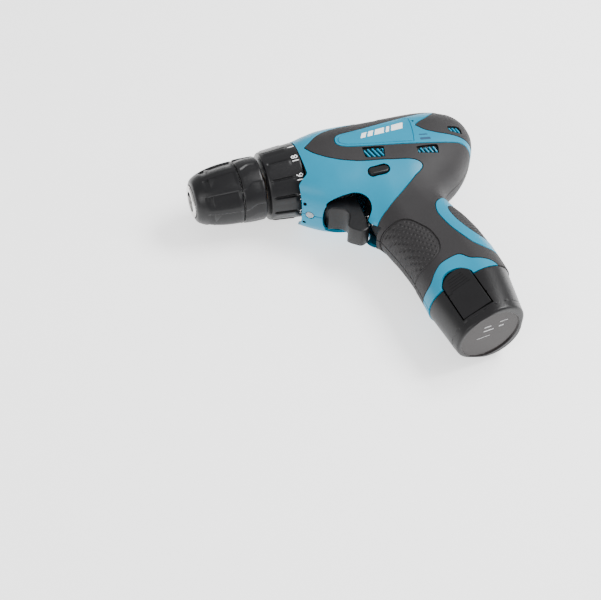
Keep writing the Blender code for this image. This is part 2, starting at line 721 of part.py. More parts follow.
def planet_carrier(number, disc_x, own_stage, next_stage, sun_front_x, pin_end_x):
    """Carrier disc with the next stage's sun in front and its own pins behind."""
    first, last = disc_x
    carrier = new_object("planet_carrier_%d" % number,
                         turned(((first, 13.4), (last, 13.4), (last, 2.0), (first, 2.0)), 24),
                         "dark_steel")
    sun_r = stage_radii(next_stage)[0]
    outline = toothed_circle(sun_r - TOOTH_SHORT, TOOTH_DEPTH, next_stage["sun"])
    loops = [place_ring(outline, x) for x in (sun_front_x, first + 0.5)]
    sun = new_cutter("guide_sun_%d" % number, loft(loops))
    combine(carrier, sun, "UNION")
    add_pins(carrier, own_stage, last - 0.5, pin_end_x)


def gear_train():
    ring_gear(3, LATER_STAGE, 77.4, 83.4)
    planet_gears(3, LATER_STAGE, 77.6, 82.8)
    planet_carrier(2, (84.2, 86.2), LATER_STAGE, LATER_STAGE, 77.8, 92.6)
    planet_gears(2, LATER_STAGE, 86.9, 92.0)
    ring_gear(2, LATER_STAGE, 87.2, 93.0)
    planet_carrier(1, (93.6, 95.4), FIRST_STAGE, LATER_STAGE, 87.2, 101.4)
    planet_gears(1, FIRST_STAGE, 96.0, 101.0)
    ring_gear(1, FIRST_STAGE, 95.8, 101.6)


# ---------------------------------------------------------------- motor

def motor():
    first, last = MOTOR_X
    can = ((first, 5.2), (first, 15.6), (first + 1.0, MOTOR_R), (last, MOTOR_R), (last, 15.0),
           (first + 1.6, 15.0), (first + 1.6, 5.2))
    new_object("motor_can", turned(can, FINE_SIDES), "bright_steel")
    first, last = END_BELL_X
    bell = ((first, 15.0), (first, 16.2), (last - 1.4, 16.2), (last, 14.6), (last, 4.4),
            (last - 1.8, 4.4), (last - 1.8, 13.6), (first, 13.6))
    new_object("motor_end_bell", turned(bell, FINE_SIDES), "black_plastic")
    sun_r = stage_radii(FIRST_STAGE)[0] - TOOTH_SHORT
    rotor = ((95.9, sun_r), (101.4, sun_r), (101.4, SHAFT_R), (112.0, SHAFT_R), (112.0, 12.6),
             (144.6, 12.6), (144.6, 5.4), (157.0, 5.4), (157.0, SHAFT_R), (165.0, SHAFT_R))
    new_object("motor_armature", solid_turned(rotor, 20), "copper")
    for name, first, last, outer in (("motor_bush_front", 104.2, 108.2, 4.8),
                                     ("motor_bush_rear", 160.4, 163.4, 4.0)):
        bush = ((first, SHAFT_R + 0.3), (first, outer), (last, outer), (last, SHAFT_R + 0.3))
        new_object(name, turned(bush, 16), "sintered_bronze")


def lead_curve(name, route, radius, material_name):
    """Insulated lead on a smooth curve through a few chosen points."""
    data = bpy.data.curves.new(name, "CURVE")
    data.dimensions = "3D"
    data.bevel_depth = radius * MM
    data.bevel_resolution = 2
    data.use_fill_caps = True
    points = smooth_route(route, 3)
    spline = data.splines.new("POLY")
    spline.points.add(len(points) - 1)
    for place, point in zip(spline.points, points):
        place.co = (*(Vector(point) * MM), 1.0)
    data.materials.append(material(material_name))
    made = bpy.data.objects.new(name, data)
    made.parent = bpy.data.objects["tool_frame"]
    bpy.context.collection.objects.link(made)


def smooth_route(route, steps):
    """Points on a Catmull-Rom curve through the route's own points."""
    places = [Vector(p) for p in route]
    places = [2 * places[0] - places[1]] + places + [2 * places[-1] - places[-2]]
    points = []
    for a, b, c, d in zip(places, places[1:], places[2:], places[3:]):
        for i in range(steps):
            t = i / steps
            points.append(0.5 * (2 * b + (c - a) * t + (2 * a - 5 * b + 4 * c - d) * t ** 2
                                 + (3 * b - a - 3 * c + d) * t ** 3))
    points.append(places[-2])
    return points


def motor_leads():
    for side, name, material_name in ((1, "left", "lead_red"), (-1, "right", "black_plastic")):
        z = 6.0 * side
        route = ((134.5, -40.0, z), (136.4, -39.9, z), (139.4, -35.0, z), (142.5, -28.5, z),
                 (150.0, -25.0, z), (159.0, -21.5, z), (165.6, -15.0, z), (167.2, -10.8, z),
                 (165.6, -8.1, z), (163.5, -8.0, z))
        lead_curve("motor_lead_" + name, route, 1.1, material_name)


# ---------------------------------------------------------------- trigger, switch and buttons

def trigger_parts():
    trigger = new_object("trigger", prism(TRIGGER_EDGE, -TRIGGER_HALF_WIDTH, TRIGGER_HALF_WIDTH),
                         "black_plastic", (98.6, SPRING_AXIS_Y, 0))
    well = new_cutter("guide_spring_well",
                      cylinder_between((93.4, SPRING_AXIS_Y, 0), (105, SPRING_AXIS_Y, 0), 4.3, 16))
    combine(trigger, well)
    spring = coil(94.2, 105.2, 3.2, 0.4, 5, SPRING_AXIS_Y, 7, 4)
    new_object("trigger_spring", spring, "bright_steel")
    new_object("switch_body", block(*SWITCH_BOX), "black_plastic")


def reverse_bar(reach, gap):
    """Bar with round ends, across the tool from side to side."""
    half = REVERSE_HEIGHT / 2 + gap
    straight = REVERSE_LENGTH / 2 - REVERSE_HEIGHT / 2
    steps = 6
    outline = []
    for sign in (1, -1):
        for i in range(steps + 1):
            angle = sign * math.pi / 2 - math.pi * i / steps
            outline.append((REVERSE_X + sign * straight + half * math.cos(angle),
                            REVERSE_Y + half * math.sin(angle)))
    return prism(outline, -reach, reach)


def buttons():
    new_object("reverse_button", reverse_bar(REVERSE_REACH, 0.0), "black_plastic",
               (REVERSE_X, REVERSE_Y, 0))
    knob = new_object("speed_slider", block(*SPEED_KNOB), "black_plastic", (124, 24.6, 0))
    strip = new_cutter("guide_speed_strip", block((88.4, 20.4, -2.4), (127.2, 21.8, 2.4)))
    peg = new_cutter("guide_speed_peg", block((88.6, 17.3, -2.2), (91.4, 21.0, 2.2)))
    for piece in (strip, peg):
        combine(knob, piece, "UNION")


def lamp_cylinder(radius, over=0.0):
    """Lamp in the chin, looking forward and down past the chuck."""
    outward = Vector((-0.55, -0.835, 0)).normalized()
    face = Vector((68.6, -32.2, 0))
    return cylinder_between(face - 5.0 * outward, face + over * outward, radius, 16)


def lamp():
    new_object("lamp_lens", lamp_cylinder(2.5), "clear_lens")


def terminals():
    new_object("terminal_block", block((120.0, -77.0, -9.5), (147.0, -68.0, 9.5)), "grey_polymer")


# ---------------------------------------------------------------- battery pack

def cell_hull(radius):
    """Outline around the three cells, at a given distance from their middles."""
    front = -CELL_PLACES[0][0] + radius
    rear = CELL_PLACES[1][0] + radius
    return pod_outline(front, rear, CELL_PLACES[1][1] + radius, radius, 8)


def battery_pack():
    levels = [station[0] for station in PACK_STATIONS]
    outlines = [pod_outline(f, r, w, PACK_ROUND) for _, f, r, w in PACK_STATIONS]
    case = new_object("battery_case", pack_loft(levels, outlines), "black_plastic",
                      pack_point(0, 0, 0))
    stem_outline = cell_hull(CELL_R + CELL_GAP + STEM_WALL)
    stem = new_cutter("guide_stem", pack_loft((PACK_SHOULDER - 3, PACK_STEM_TOP), (stem_outline,) * 2))
    room_outline = cell_hull(CELL_R + CELL_GAP)
    room = new_cutter("guide_cell_room",
                      pack_loft((-5, PACK_STEM_TOP - 1.6), (room_outline,) * 2))
    combine(case, stem, "UNION")
    combine(case, room)
    for side, name in ((1, "left"), (-1, "right")):
        across = (TAB_ACROSS[0] - 0.5, TAB_ACROSS[1] + 0.5)
        recess = tab_block(side, across, (TAB_LOW - 0.5, 60.0), (TAB_OUT[0] - TAB_ROOM, 40.0))
        combine(case, new_cutter("guide_tab_recess_" + name, recess))
        tab = tab_block(side, TAB_ACROSS, (TAB_LOW, TAB_HIGH), TAB_OUT)
        new_object("battery_latch_" + name, tab, "black_plastic",
                   tab_point(side, sum(TAB_ACROSS) / 2, TAB_LOW, TAB_OUT[0]))
    battery_base()
    for index, (x, z) in enumerate(CELL_PLACES, 1):
        ring = [(x + a, z + b) for a, b in circle(CELL_R, 16)]
        levels = (5.2, 5.2 + CELL_LENGTH)
        new_object("battery_cell_%d" % index, pack_loft(levels, (ring, ring)), "cell_wrap",
                   pack_point(x, 5.2, z))


def battery_base():
    levels = (0.0, 1.8, 4.7)
    outlines = (pod_outline(BASE_FRONT, 17.8, 20.9, PACK_ROUND - 1.4), pod_outline(24.0, 19.4, 22.0, PACK_ROUND),
                pod_outline(24.5, 20.4, 22.1, PACK_ROUND))
    new_object("battery_base", pack_loft(levels, outlines), "label", pack_point(0, 0, 0))


def build():
    clear_scene()
    make_tool_frame()
    screw_room()
    cutters = housing_cutters()
    for name in ("left", "right"):
        housing_shell(name, cutters)
        soft_cover(name, cutters)
    housing_screws()
    chuck()
    clutch()
    spindle_parts()
    gear_case()
    gear_train()
    motor()
    motor_leads()
    trigger_parts()
    buttons()
    lamp()
    terminals()
    battery_pack()


build()
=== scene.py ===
"""Looks of a compact pod-battery drill driver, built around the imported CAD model.

Lengths are millimetres in the tool's own frame: x runs back along the spindle from the chuck's
nose, y is up from the spindle and z is towards the tool's left side. to_row() turns them into
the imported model's frame, by the place of the chuck.
"""
import json
import math

import bpy
import numpy as np
from mathutils import Matrix, Vector

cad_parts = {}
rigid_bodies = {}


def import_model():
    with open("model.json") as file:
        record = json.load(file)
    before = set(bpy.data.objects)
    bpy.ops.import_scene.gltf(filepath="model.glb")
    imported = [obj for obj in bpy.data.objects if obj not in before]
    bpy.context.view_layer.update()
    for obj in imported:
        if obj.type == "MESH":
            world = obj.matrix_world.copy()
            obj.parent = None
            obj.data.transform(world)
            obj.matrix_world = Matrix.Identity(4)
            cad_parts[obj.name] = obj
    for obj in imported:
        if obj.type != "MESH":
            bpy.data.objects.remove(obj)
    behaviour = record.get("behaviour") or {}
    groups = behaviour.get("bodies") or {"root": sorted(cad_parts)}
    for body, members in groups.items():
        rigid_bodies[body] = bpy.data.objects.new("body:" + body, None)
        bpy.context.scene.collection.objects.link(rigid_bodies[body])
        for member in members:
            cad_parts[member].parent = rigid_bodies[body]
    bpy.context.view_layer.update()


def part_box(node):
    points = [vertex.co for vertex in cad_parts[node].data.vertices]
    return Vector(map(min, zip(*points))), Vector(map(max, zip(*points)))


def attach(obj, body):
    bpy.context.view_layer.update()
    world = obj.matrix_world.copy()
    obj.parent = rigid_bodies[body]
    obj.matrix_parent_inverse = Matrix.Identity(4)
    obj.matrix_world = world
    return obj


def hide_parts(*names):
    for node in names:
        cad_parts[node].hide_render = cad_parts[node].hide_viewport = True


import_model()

MM = 0.001
CHUCK_LOW, CHUCK_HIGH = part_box("chuck_body")
NOSE = np.array((CHUCK_LOW.x, (CHUCK_LOW.y + CHUCK_HIGH.y) / 2, (CHUCK_LOW.z + CHUCK_HIGH.z) / 2))

# ---------------------------------------------------------------- sizes

REAR_X = 189.0
CLOSING_X = 140.0
BODY_X = (64.3, 71.0, 80.0, 90.0, 104.0, 118.0, CLOSING_X)
BODY_TOP = (22.8, 23.6, 25.2, 26.5, 27.2, 27.3, 27.2)
BODY_BOTTOM = (29.0, 34.0, 39.5, 43.0, 45.0, 45.0, 45.0)
BODY_WIDTH = (22.0, 23.8, 25.4, 26.3, 26.5, 26.5, 26.5)
BODY_SQUARENESS = (2.1, 2.1, 2.2, 2.3, 2.2, 2.05, 2.0)
LOWER_SQUARENESS = 2.7
GRIP_Y = (-134.0, -118.0, -102.0, -86.0, -72.0, -58.0, -46.0, -32.0, -16.0)
GRIP_FRONT = (112.4, 112.2, 111.2, 108.6, 105.0, 101.5, 101.0, 101.5, 104.0)
GRIP_REAR = (166.6, 166.2, 165.2, 163.2, 160.0, 155.0, 151.5, 152.5, 154.0)
GRIP_HALF = (22.6, 22.6, 22.4, 22.1, 21.4, 20.4, 20.6, 20.4, 19.0)
GRIP_ROUND = 19.5
WEB = 12.0
PACK_X, PACK_Y, PACK_TILT = 142.3, -152.5, 0.12
PACK_SHOULDER = 31.0
GAP = 0.15
WALL = 1.9
CLOSING_TOP, CLOSING_BOTTOM, CLOSING_WIDTH = 2.9, 1.7, 2.6
GRIP_TOP_Y = -18.0
GUARD_CENTRE = np.array((117.0, -47.0, 0.0))
GUARD_HALF = np.array((19.4, 14.2, 11.8))
GUARD_ROUND = 5.6
GUARD_WEB = 7.0

RING_CLEAR_R = 24.7
SHELL_FRONT_X, CHIN_FRONT_X = 71.0, 64.4
SLOT_HALF, SLOT_REAR_X, SLOT_Y = 9.9, 108.0, (-63.6, -37.0)
SLOT_WALL_Z = 9.85
SLIDER_X, SLIDER_HALF, SLIDER_SIDE, SLIDER_LOW_Y = 122.6, 6.0, 5.3, 20.0
HOUSING_LOW, HOUSING_HIGH, HOUSING_CELL = (60.0, -128.0, -1.6), (190.0, 30.0, 28.0), 0.85
PACK_LOW, PACK_HIGH, PACK_CELL = (112.0, -158.0, -1.5), (172.0, -116.0, 25.0), 0.8

SLEEVE_X, SLEEVE_NOSE_R, SLEEVE_R = (1.3, 30.2), 12.0, 20.05
CLUTCH_INNER_R, SLEEVE_BORE_R, SLEEVE_MOUTH_R, COLLAR_BORE_R = 12.6, 17.7, 10.75, 10.6
COLLAR_X, COLLAR_R = (30.8, 45.2), 20.45
RING_X, RING_FRONT_R, RING_REAR_R = (48.3, 69.5), 21.9, 23.9
FLUTES, RIBS = 9, 12
FLUTE_DEPTH, SCALLOP_DEPTH = 1.2, 0.85
NUMBER_SIZE, NUMBER_FOOT_X, NUMBER_R = 5.8, 69.2, 23.8
NUMBER_START, NUMBER_STEP, NUMBER_LAST = 363.5, 15.5, 18
LINE_MARK_TURN, DRILL_MARK_TURN = 3.5, 72.0

TRIGGER_HALF, TRIGGER_ROUND = 9.45, 0.8
REVERSE_REACH, REVERSE_ROUND = 25.0, 0.9
HEAD_R, HEAD_HEIGHT, CROSS_HALF, CROSS_WIDTH = 2.75, 1.6, 1.7, 0.28
STEM_TOP, STEM_R = 73.0, 10.2
CELL_PLACES = ((-6.5, 0.0), (9.5, 9.25), (9.5, -9.25))
TAB_MIDDLE, TAB_HALF, TAB_LOW, TAB_CROWN, TAB_SINK, TAB_POWER = 0.25, 9.75, 7.0, 39.0, 5.5, 2.6
TAB_OUT = (19.4, 21.0)
TAB_SEAM = 0.55

# ---------------------------------------------------------------- small helpers


def to_row(points):
    return NOSE + MM * np.asarray(points, float)


def smooth_table(xs, ys, x):
    """Monotone cubic through the points of a table."""
    xs, ys = np.asarray(xs, float), np.asarray(ys, float)
    slope = np.diff(ys) / np.diff(xs)
    tangent = np.zeros_like(ys)
    product = slope[:-1] * slope[1:]
    tangent[1:-1] = np.where(product > 0, 2 * product / (slope[:-1] + slope[1:] + 1e-12), 0)
    tangent[0], tangent[-1] = slope[0], slope[-1]
    x = np.clip(x, xs[0], xs[-1])
    i = np.clip(np.searchsorted(xs, x) - 1, 0, len(xs) - 2)
    h = xs[i + 1] - xs[i]
    t = (x - xs[i]) / h
    return (ys[i] * (2 * t ** 3 - 3 * t ** 2 + 1) + tangent[i] * h * (t ** 3 - 2 * t ** 2 + t)
            + ys[i + 1] * (3 * t ** 2 - 2 * t ** 3) + tangent[i + 1] * h * (t ** 3 - t ** 2))


def smooth_step(low, high, x):
    t = np.clip((x - low) / (high - low), 0, 1)
    return t * t * (3 - 2 * t)


def smooth_outline(points, steps=6):
    """Closed Catmull-Rom line through the points; a point given twice is a corner."""
    p = np.asarray(points, float)
    n = len(p)
    line = []
    for i in range(n):
        a, b, c, d = p[i - 1], p[i], p[(i + 1) % n], p[(i + 2) % n]
        if np.allclose(b, c):
            continue
        if np.allclose(a, b):
            a = b
        if np.allclose(c, d):
            d = c
        for s in range(steps):
            t = s / steps
            line.append(0.5 * (2 * b + (c - a) * t + (2 * a - 5 * b + 4 * c - d) * t ** 2
                               + (3 * b - a - 3 * c + d) * t ** 3))
    return np.array(line)


def outline_distance(u, v, outline, reach=4.0):
    """Signed distance to a closed line, negative inside; far points get a bound."""
    outline = np.asarray(outline, float)
    low, high = outline.min(0) - reach, outline.max(0) + reach
    result = np.full(len(u), reach)
    near = (u > low[0]) & (u < high[0]) & (v > low[1]) & (v < high[1])
    x, y = u[near], v[near]
    best = np.full(len(x), 1e9)
    inside = np.zeros(len(x), bool)
    for (x0, y0), (x1, y1) in zip(outline, np.roll(outline, -1, 0)):
        dx, dy = x1 - x0, y1 - y0
        t = np.clip(((x - x0) * dx + (y - y0) * dy) / (dx * dx + dy * dy + 1e-12), 0, 1)
        best = np.minimum(best, (x - x0 - t * dx) ** 2 + (y - y0 - t * dy) ** 2)
        if y0 != y1:
            crosses = ((y0 > y) != (y1 > y)) & (x < (y - y0) / (y1 - y0) * dx + x0)
            inside ^= crosses
    distance = np.sqrt(best)
    result[near] = np.where(inside, -distance, distance)
    return result


def pack_point(along, up, z):
    cos, sin = math.cos(PACK_TILT), math.sin(PACK_TILT)
    return np.stack(np.broadcast_arrays(PACK_X + along * cos - up * sin,
                                        PACK_Y + along * sin + up * cos, z), -1)


def pack_height(p):
    """How far a point is up the battery pack's own axis."""
    return ((p[..., 1] - PACK_Y) * math.cos(PACK_TILT) - (p[..., 0] - PACK_X) * math.sin(PACK_TILT))


# ---------------------------------------------------------------- the shell as a field


def closing(x, power):
    """How the body's section shrinks to nothing behind CLOSING_X."""
    u = np.clip((x - CLOSING_X) / (REAR_X - CLOSING_X), 0, 1)
    return np.maximum(1 - u ** power, 1e-5) ** (1 / power)


def body_field(p):
    """Upper body: a rounded section that changes along the spindle's axis."""
    x, y, z = p[..., 0], p[..., 1], p[..., 2]
    top = smooth_table(BODY_X, BODY_TOP, x) * closing(x, CLOSING_TOP)
    bottom = smooth_table(BODY_X, BODY_BOTTOM, x) * closing(x, CLOSING_BOTTOM)
    width = smooth_table(BODY_X, BODY_WIDTH, x) * closing(x, CLOSING_WIDTH)
    upper = smooth_table(BODY_X, BODY_SQUARENESS, x)
    power = np.where(y > 0, upper, LOWER_SQUARENESS)
    height = np.where(y > 0, top, bottom)
    r = ((np.abs(z) / width) ** power + (np.abs(y) / height) ** power + 1e-9) ** (1 / power)
    return np.maximum((np.hypot(y, z) + 1e-6) * (1 - 1 / r), x - REAR_X)


def pod_distance(a, z, front, rear, half, radius):
    """Distance to a rounded triangle with one round corner in front and two at the rear."""
    z = np.abs(z)
    ax, bx, bz = front + radius, rear - radius, half - radius
    dx = bx - ax
    length = np.hypot(dx, bz)
    t = np.clip(((a - ax) * dx + z * bz) / length ** 2, 0, 1)
    slanted = np.hypot(a - ax - t * dx, z - t * bz)
    back = np.hypot(a - bx, z - np.clip(z, 0, bz))
    inside = ((a - ax) * bz - z * dx > 0) & (a < bx)
    nearest = np.minimum(slanted, back)
    return np.where(inside, -nearest, nearest) - radius


def grip_field(p):
    """Grip: a rounded triangle that changes with height."""
    x, y, z = p[..., 0], p[..., 1], p[..., 2]
    half = smooth_table(GRIP_Y, GRIP_HALF, y)
    distance = pod_distance(x, z, smooth_table(GRIP_Y, GRIP_FRONT, y), smooth_table(GRIP_Y, GRIP_REAR, y),
                            half, np.minimum(GRIP_ROUND, half - 0.3))
    return np.maximum(distance, y - GRIP_TOP_Y)


def guard_field(p):
    """Blunt walls beside the trigger, which run down into the grip's front."""
    q = np.abs(p - GUARD_CENTRE) - (GUARD_HALF - GUARD_ROUND)
    return np.linalg.norm(np.maximum(q, 0), axis=-1) + np.minimum(q.max(-1), 0) - GUARD_ROUND


def soft_union(a, b, reach):
    h = np.maximum(reach - np.abs(a - b), 0) / reach
    return np.minimum(a, b) - h * h * reach / 4


def shell_field(p):
    return soft_union(soft_union(body_field(p), grip_field(p), WEB), guard_field(p), GUARD_WEB)


def gradient(field, p, step=0.05):
    parts = []
    for axis in range(3):
        d = np.zeros(3)
        d[axis] = step
        parts.append((field(p + d) - field(p - d)) / (2 * step))
    return np.stack(parts, -1)


def project(field, p, rounds=4):
    for _ in range(rounds):
        g = gradient(field, p)
        step = np.clip(field(p) / ((g * g).sum(-1) + 1e-9), -1.5, 1.5)
        p = p - step[..., None] * g
    return p


def unit(vectors):
    return vectors / (np.linalg.norm(vectors, axis=-1, keepdims=True) + 1e-12)


def surface_net(field, low, high, step):
    """Triangles on the field's zero surface, made from a grid of cells."""
    axes = [np.arange(a, b + step, step) for a, b in zip(low, high)]
    values = np.stack([field(np.stack(np.meshgrid([x], axes[1], axes[2], indexing="ij"), -1))[0]
                       for x in axes[0]])
    inside = values < 0
    shape = np.array(values.shape) - 1
    total = np.zeros(shape, int)
    centre_sum = np.zeros((*shape, 3))
    crossing_count = np.zeros(shape, int)
    for i in (0, 1):
        for j in (0, 1):
            for k in (0, 1):
                total += inside[i:i + shape[0], j:j + shape[1], k:k + shape[2]]
    for axis in range(3):
        others = [a for a in range(3) if a != axis]
        for m in (0, 1):
            for n in (0, 1):
                start = [0, 0, 0]
                start[others[0]], start[others[1]] = m, n
                end = list(start)
                end[axis] = 1
                a = values[tuple(slice(s, s + c) for s, c in zip(start, shape))]
                b = values[tuple(slice(s, s + c) for s, c in zip(end, shape))]
                crosses = (a < 0) != (b < 0)
                t = np.where(crosses, a / np.where(crosses, a - b, 1), 0)
                crossing_count += crosses
                for c in range(3):
                    centre_sum[..., c] += crosses * (start[c] + (t if c == axis else 0))
    active = (total > 0) & (total < 8)
    index = np.full(shape, -1)
    index[active] = np.arange(active.sum())
    cell = np.argwhere(active)
    points = np.array(low) + step * (cell + centre_sum[active] / crossing_count[active][:, None])
    quads = []
    for axis in range(3):
        one, two = [a for a in range(3) if a != axis]
        a = inside[tuple(slice(0, -1) if c == axis else slice(1, -1) for c in range(3))]
        b = inside[tuple(slice(1, None) if c == axis else slice(1, -1) for c in range(3))]
        for direction, mask in ((1, a & ~b), (-1, ~a & b)):
            at = np.argwhere(mask)
            if not len(at):
                continue
            at = at + np.array([0 if c == axis else 1 for c in range(3)])
            corners = []
            for m, n in ((0, 0), (1, 0), (1, 1), (0, 1)):
                cell_at = at.copy()
                cell_at[:, one] -= m
                cell_at[:, two] -= n
                corners.append(index[tuple(cell_at.T)])
            quad = np.stack(corners, -1)
            if (direction > 0) == (axis == 1):
                quad = quad[:, ::-1]
            quads.append(quad)
    quads = np.concatenate(quads)
    points = project(field, points)
    a, b, c, d = (points[quads[:, i]] for i in range(4))
    short = np.linalg.norm(a - c, axis=1) <= np.linalg.norm(b - d, axis=1)
    first = np.where(short[:, None], quads[:, [0, 1, 2]], quads[:, [0, 1, 3]])
    second = np.where(short[:, None], quads[:, [0, 2, 3]], quads[:, [1, 2, 3]])
    return points, np.concatenate((first, second))


# ---------------------------------------------------------------- cutting triangles along lines


def cut(points, triangles, values, level=0.0, snap=0.14):
    """Splits triangles along the line where values are level; returns the new arrays."""
    s = values - level
    edges = np.sort(np.concatenate((triangles[:, [0, 1]], triangles[:, [1, 2]], triangles[:, [2, 0]])), 1)
    edges = np.unique(edges, axis=0)
    a, b = edges.T
    crossing = s[a] * s[b] < 0
    a, b = a[crossing], b[crossing]
    t = s[a] / (s[a] - s[b])
    points = points.copy()
    s = s.copy()
    for end, other, share in ((a, b, t), (b, a, 1 - t)):
        close = share < snap
        moved = points[end[close]] + (points[other[close]] - points[end[close]]) * share[close][:, None]
        points[end[close]] = moved
        s[end[close]] = 0
    crossing = s[a] * s[b] < 0
    a, b = a[crossing], b[crossing]
    t = s[a] / (s[a] - s[b])
    fresh = points[a] + (points[b] - points[a]) * t[:, None]
    count = len(points)
    key = a.astype(np.int64) * count + b
    order = np.argsort(key)
    key, number = key[order], order + count

    def made(p, q):
        low, high = np.minimum(p, q), np.maximum(p, q)
        wanted = low.astype(np.int64) * count + high
        at = np.clip(np.searchsorted(key, wanted), 0, max(len(key) - 1, 0))
        return number[at]

    points = np.concatenate((points, fresh))
    values = np.concatenate((s + level, np.full(len(fresh), float(level))))
    sign = np.sign(s).astype(int)[triangles]
    mixed = (sign.max(1) > 0) & (sign.min(1) < 0)
    kept = [triangles[~mixed]]
    if len(fresh):
        work, sign = triangles[mixed], sign[mixed]
        has_zero = (sign == 0).any(1)
        one = work[has_zero]
        zero_at = np.argmax(sign[has_zero] == 0, 1)
        rows = np.arange(len(one))
        p, q, r = (one[rows, (zero_at + i) % 3] for i in range(3))
        m = made(q, r)
        kept += [np.stack((p, q, m), 1), np.stack((p, m, r), 1)]
        two, sign = work[~has_zero], sign[~has_zero]
        lone = np.argmax(sign == -np.sign(sign.sum(1))[:, None], 1)
        rows = np.arange(len(two))
        p, q, r = (two[rows, (lone + i) % 3] for i in range(3))
        m, n = made(p, q), made(r, p)
        kept += [np.stack((p, m, n), 1), np.stack((m, q, r), 1), np.stack((m, r, n), 1)]
    return points, np.concatenate(kept), values


def compact(points, triangles, *more):
    used, again = np.unique(triangles, return_inverse=True)
    return (points[used], again.reshape(-1, 3), *(m[used] for m in more))


def keep_side(points, triangles, values, above=0.0):
    """Only the triangles whose middle has a value over the limit, once they are cut there."""
    points, triangles, values = cut(points, triangles, values, above)
    middle = values[triangles].mean(1)
    return compact(points, triangles[middle > above])


def thicken(points, triangles, normals, depth):
    """Closed piece: the surface, its inner copy and the rim between them."""
    count = len(points)
    edges = np.concatenate((triangles[:, [0, 1]], triangles[:, [1, 2]], triangles[:, [2, 0]]))
    key = np.sort(edges, 1)
    _, first, times = np.unique(key, axis=0, return_index=True, return_counts=True)
    rim = edges[first[times == 1]]
    inner = points - normals * depth
    walls = np.concatenate((np.stack((rim[:, 1], rim[:, 0], rim[:, 0] + count), 1),
                            np.stack((rim[:, 1], rim[:, 0] + count, rim[:, 1] + count), 1)))
    return (np.concatenate((points, inner)),
            np.concatenate((triangles, triangles[:, ::-1] + count, walls)))


def piece(name, points, faces, material, body, replaces=(), crease=38.0, row=False):
    """Mesh object from points in the tool's frame, riding on a body."""
    points = np.asarray(points, float) if row else to_row(points)
    mesh = bpy.data.meshes.new(name)
    mesh.from_pydata([tuple(p) for p in points], [], [tuple(int(i) for i in f) for f in faces])
    mesh.validate()
    mesh.polygons.foreach_set("use_smooth", [True] * len(mesh.polygons))
    mesh.set_sharp_from_angle(angle=math.radians(crease))
    made = bpy.data.objects.new(name, mesh)
    bpy.context.scene.collection.objects.link(made)
    for m in (material if isinstance(material, (list, tuple)) else (material,)):
        mesh.materials.append(m)
    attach(made, body)
    if replaces:
        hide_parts(*replaces)
    return made


def carve(points, triangles, features):
    """Cuts the triangles along every feature's lines and returns how far each point goes in or out."""
    for distance, profile in features:
        values = distance(points)
        for level, _ in profile:
            points, triangles, values = cut(points, triangles, values, level)
    push = np.zeros(len(points))
    for distance, profile in features:
        levels, heights = zip(*profile)
        push += np.interp(distance(points), levels, heights)
    return points, triangles, push


def mirrored(points, triangles):
    """The same surface on the tool's right side."""
    return points * np.array((1.0, 1.0, -1.0)), triangles[:, ::-1]


# ---------------------------------------------------------------- materials


def new_material(name):
    material = bpy.data.materials.new(name)
    material.use_nodes = True
    nodes, links = material.node_tree.nodes, material.node_tree.links
    return material, nodes, links, nodes["Principled BSDF"]


def noise_node(nodes, links, coordinate, scale, detail=3.0, roughness=0.5, stretch=None):
    noise = nodes.new("ShaderNodeTexNoise")
    noise.inputs["Scale"].default_value = scale
    noise.inputs["Detail"].default_value = detail
    noise.inputs["Roughness"].default_value = roughness
    if stretch:
        mapping = nodes.new("ShaderNodeMapping")
        mapping.inputs["Scale"].default_value = stretch
        links.new(coordinate, mapping.inputs["Vector"])
        coordinate = mapping.outputs["Vector"]
    links.new(coordinate, noise.inputs["Vector"])
    return noise.outputs["Fac"]


def ranged(nodes, links, value, low, high, start=0.3, end=0.7):
    """Maps a value from start..end to low..high."""
    node = nodes.new("ShaderNodeMapRange")
    node.inputs["From Min"].default_value = start
    node.inputs["From Max"].default_value = end
    node.inputs["To Min"].default_value = low
    node.inputs["To Max"].default_value = high
    links.new(value, node.inputs["Value"])
    return node.outputs["Result"]


def blended(nodes, links, amount, below, over, plain=(0.0, 0.0, 0.0)):
    """Mixes a colour over the output below, or over a plain colour where there is none."""
    mix = nodes.new("ShaderNodeMix")
    mix.data_type = "RGBA"
    mix.inputs[6].default_value = (*plain, 1)
    mix.inputs[7].default_value = (*over, 1)
    links.new(amount, mix.inputs[0])
    if below:
        links.new(below, mix.inputs[6])
    return mix.outputs[2]


def moulded(name, colour, rough, grain, bump, variation=0.06, speck=0.0, worn=0.12, stretch=None,
            **settings):
    """Moulded or machined surface: fine grain, soft mottling, light specks and rubbed edges."""
    material, nodes, links, shader = new_material(name)
    place = nodes.new("ShaderNodeTexCoord").outputs["Object"]
    fine = noise_node(nodes, links, place, grain, 3.0, 0.55, stretch)
    broad = noise_node(nodes, links, place, 42.0, 4.0, 0.55)
    light = [min(1.0, c * (1 + variation)) for c in colour]
    dark = [c * (1 - variation) for c in colour]
    result = blended(nodes, links, ranged(nodes, links, broad, 0, 1), None, light, dark)
    if speck:
        amount = ranged(nodes, links, fine, 0, speck, 0.58, 0.75)
        result = blended(nodes, links, amount, result, [min(1.0, c * 1.6 + 0.012) for c in colour])
    if worn:
        edge = nodes.new("ShaderNodeNewGeometry").outputs["Pointiness"]
        amount = ranged(nodes, links, edge, 0, worn, 0.52, 0.6)
        result = blended(nodes, links, amount, result, [min(1.0, c * 1.25 + 0.008) for c in colour])
    links.new(result, shader.inputs["Base Color"])
    links.new(ranged(nodes, links, broad, rough * 0.88, rough * 1.12), shader.inputs["Roughness"])
    relief = nodes.new("ShaderNodeBump")
    relief.inputs["Strength"].default_value = bump
    relief.inputs["Distance"].default_value = 0.0002
    links.new(fine, relief.inputs["Height"])
    links.new(relief.outputs["Normal"], shader.inputs["Normal"])
    for key, value in settings.items():
        shader.inputs[key.replace("_", " ")].default_value = value
    return material


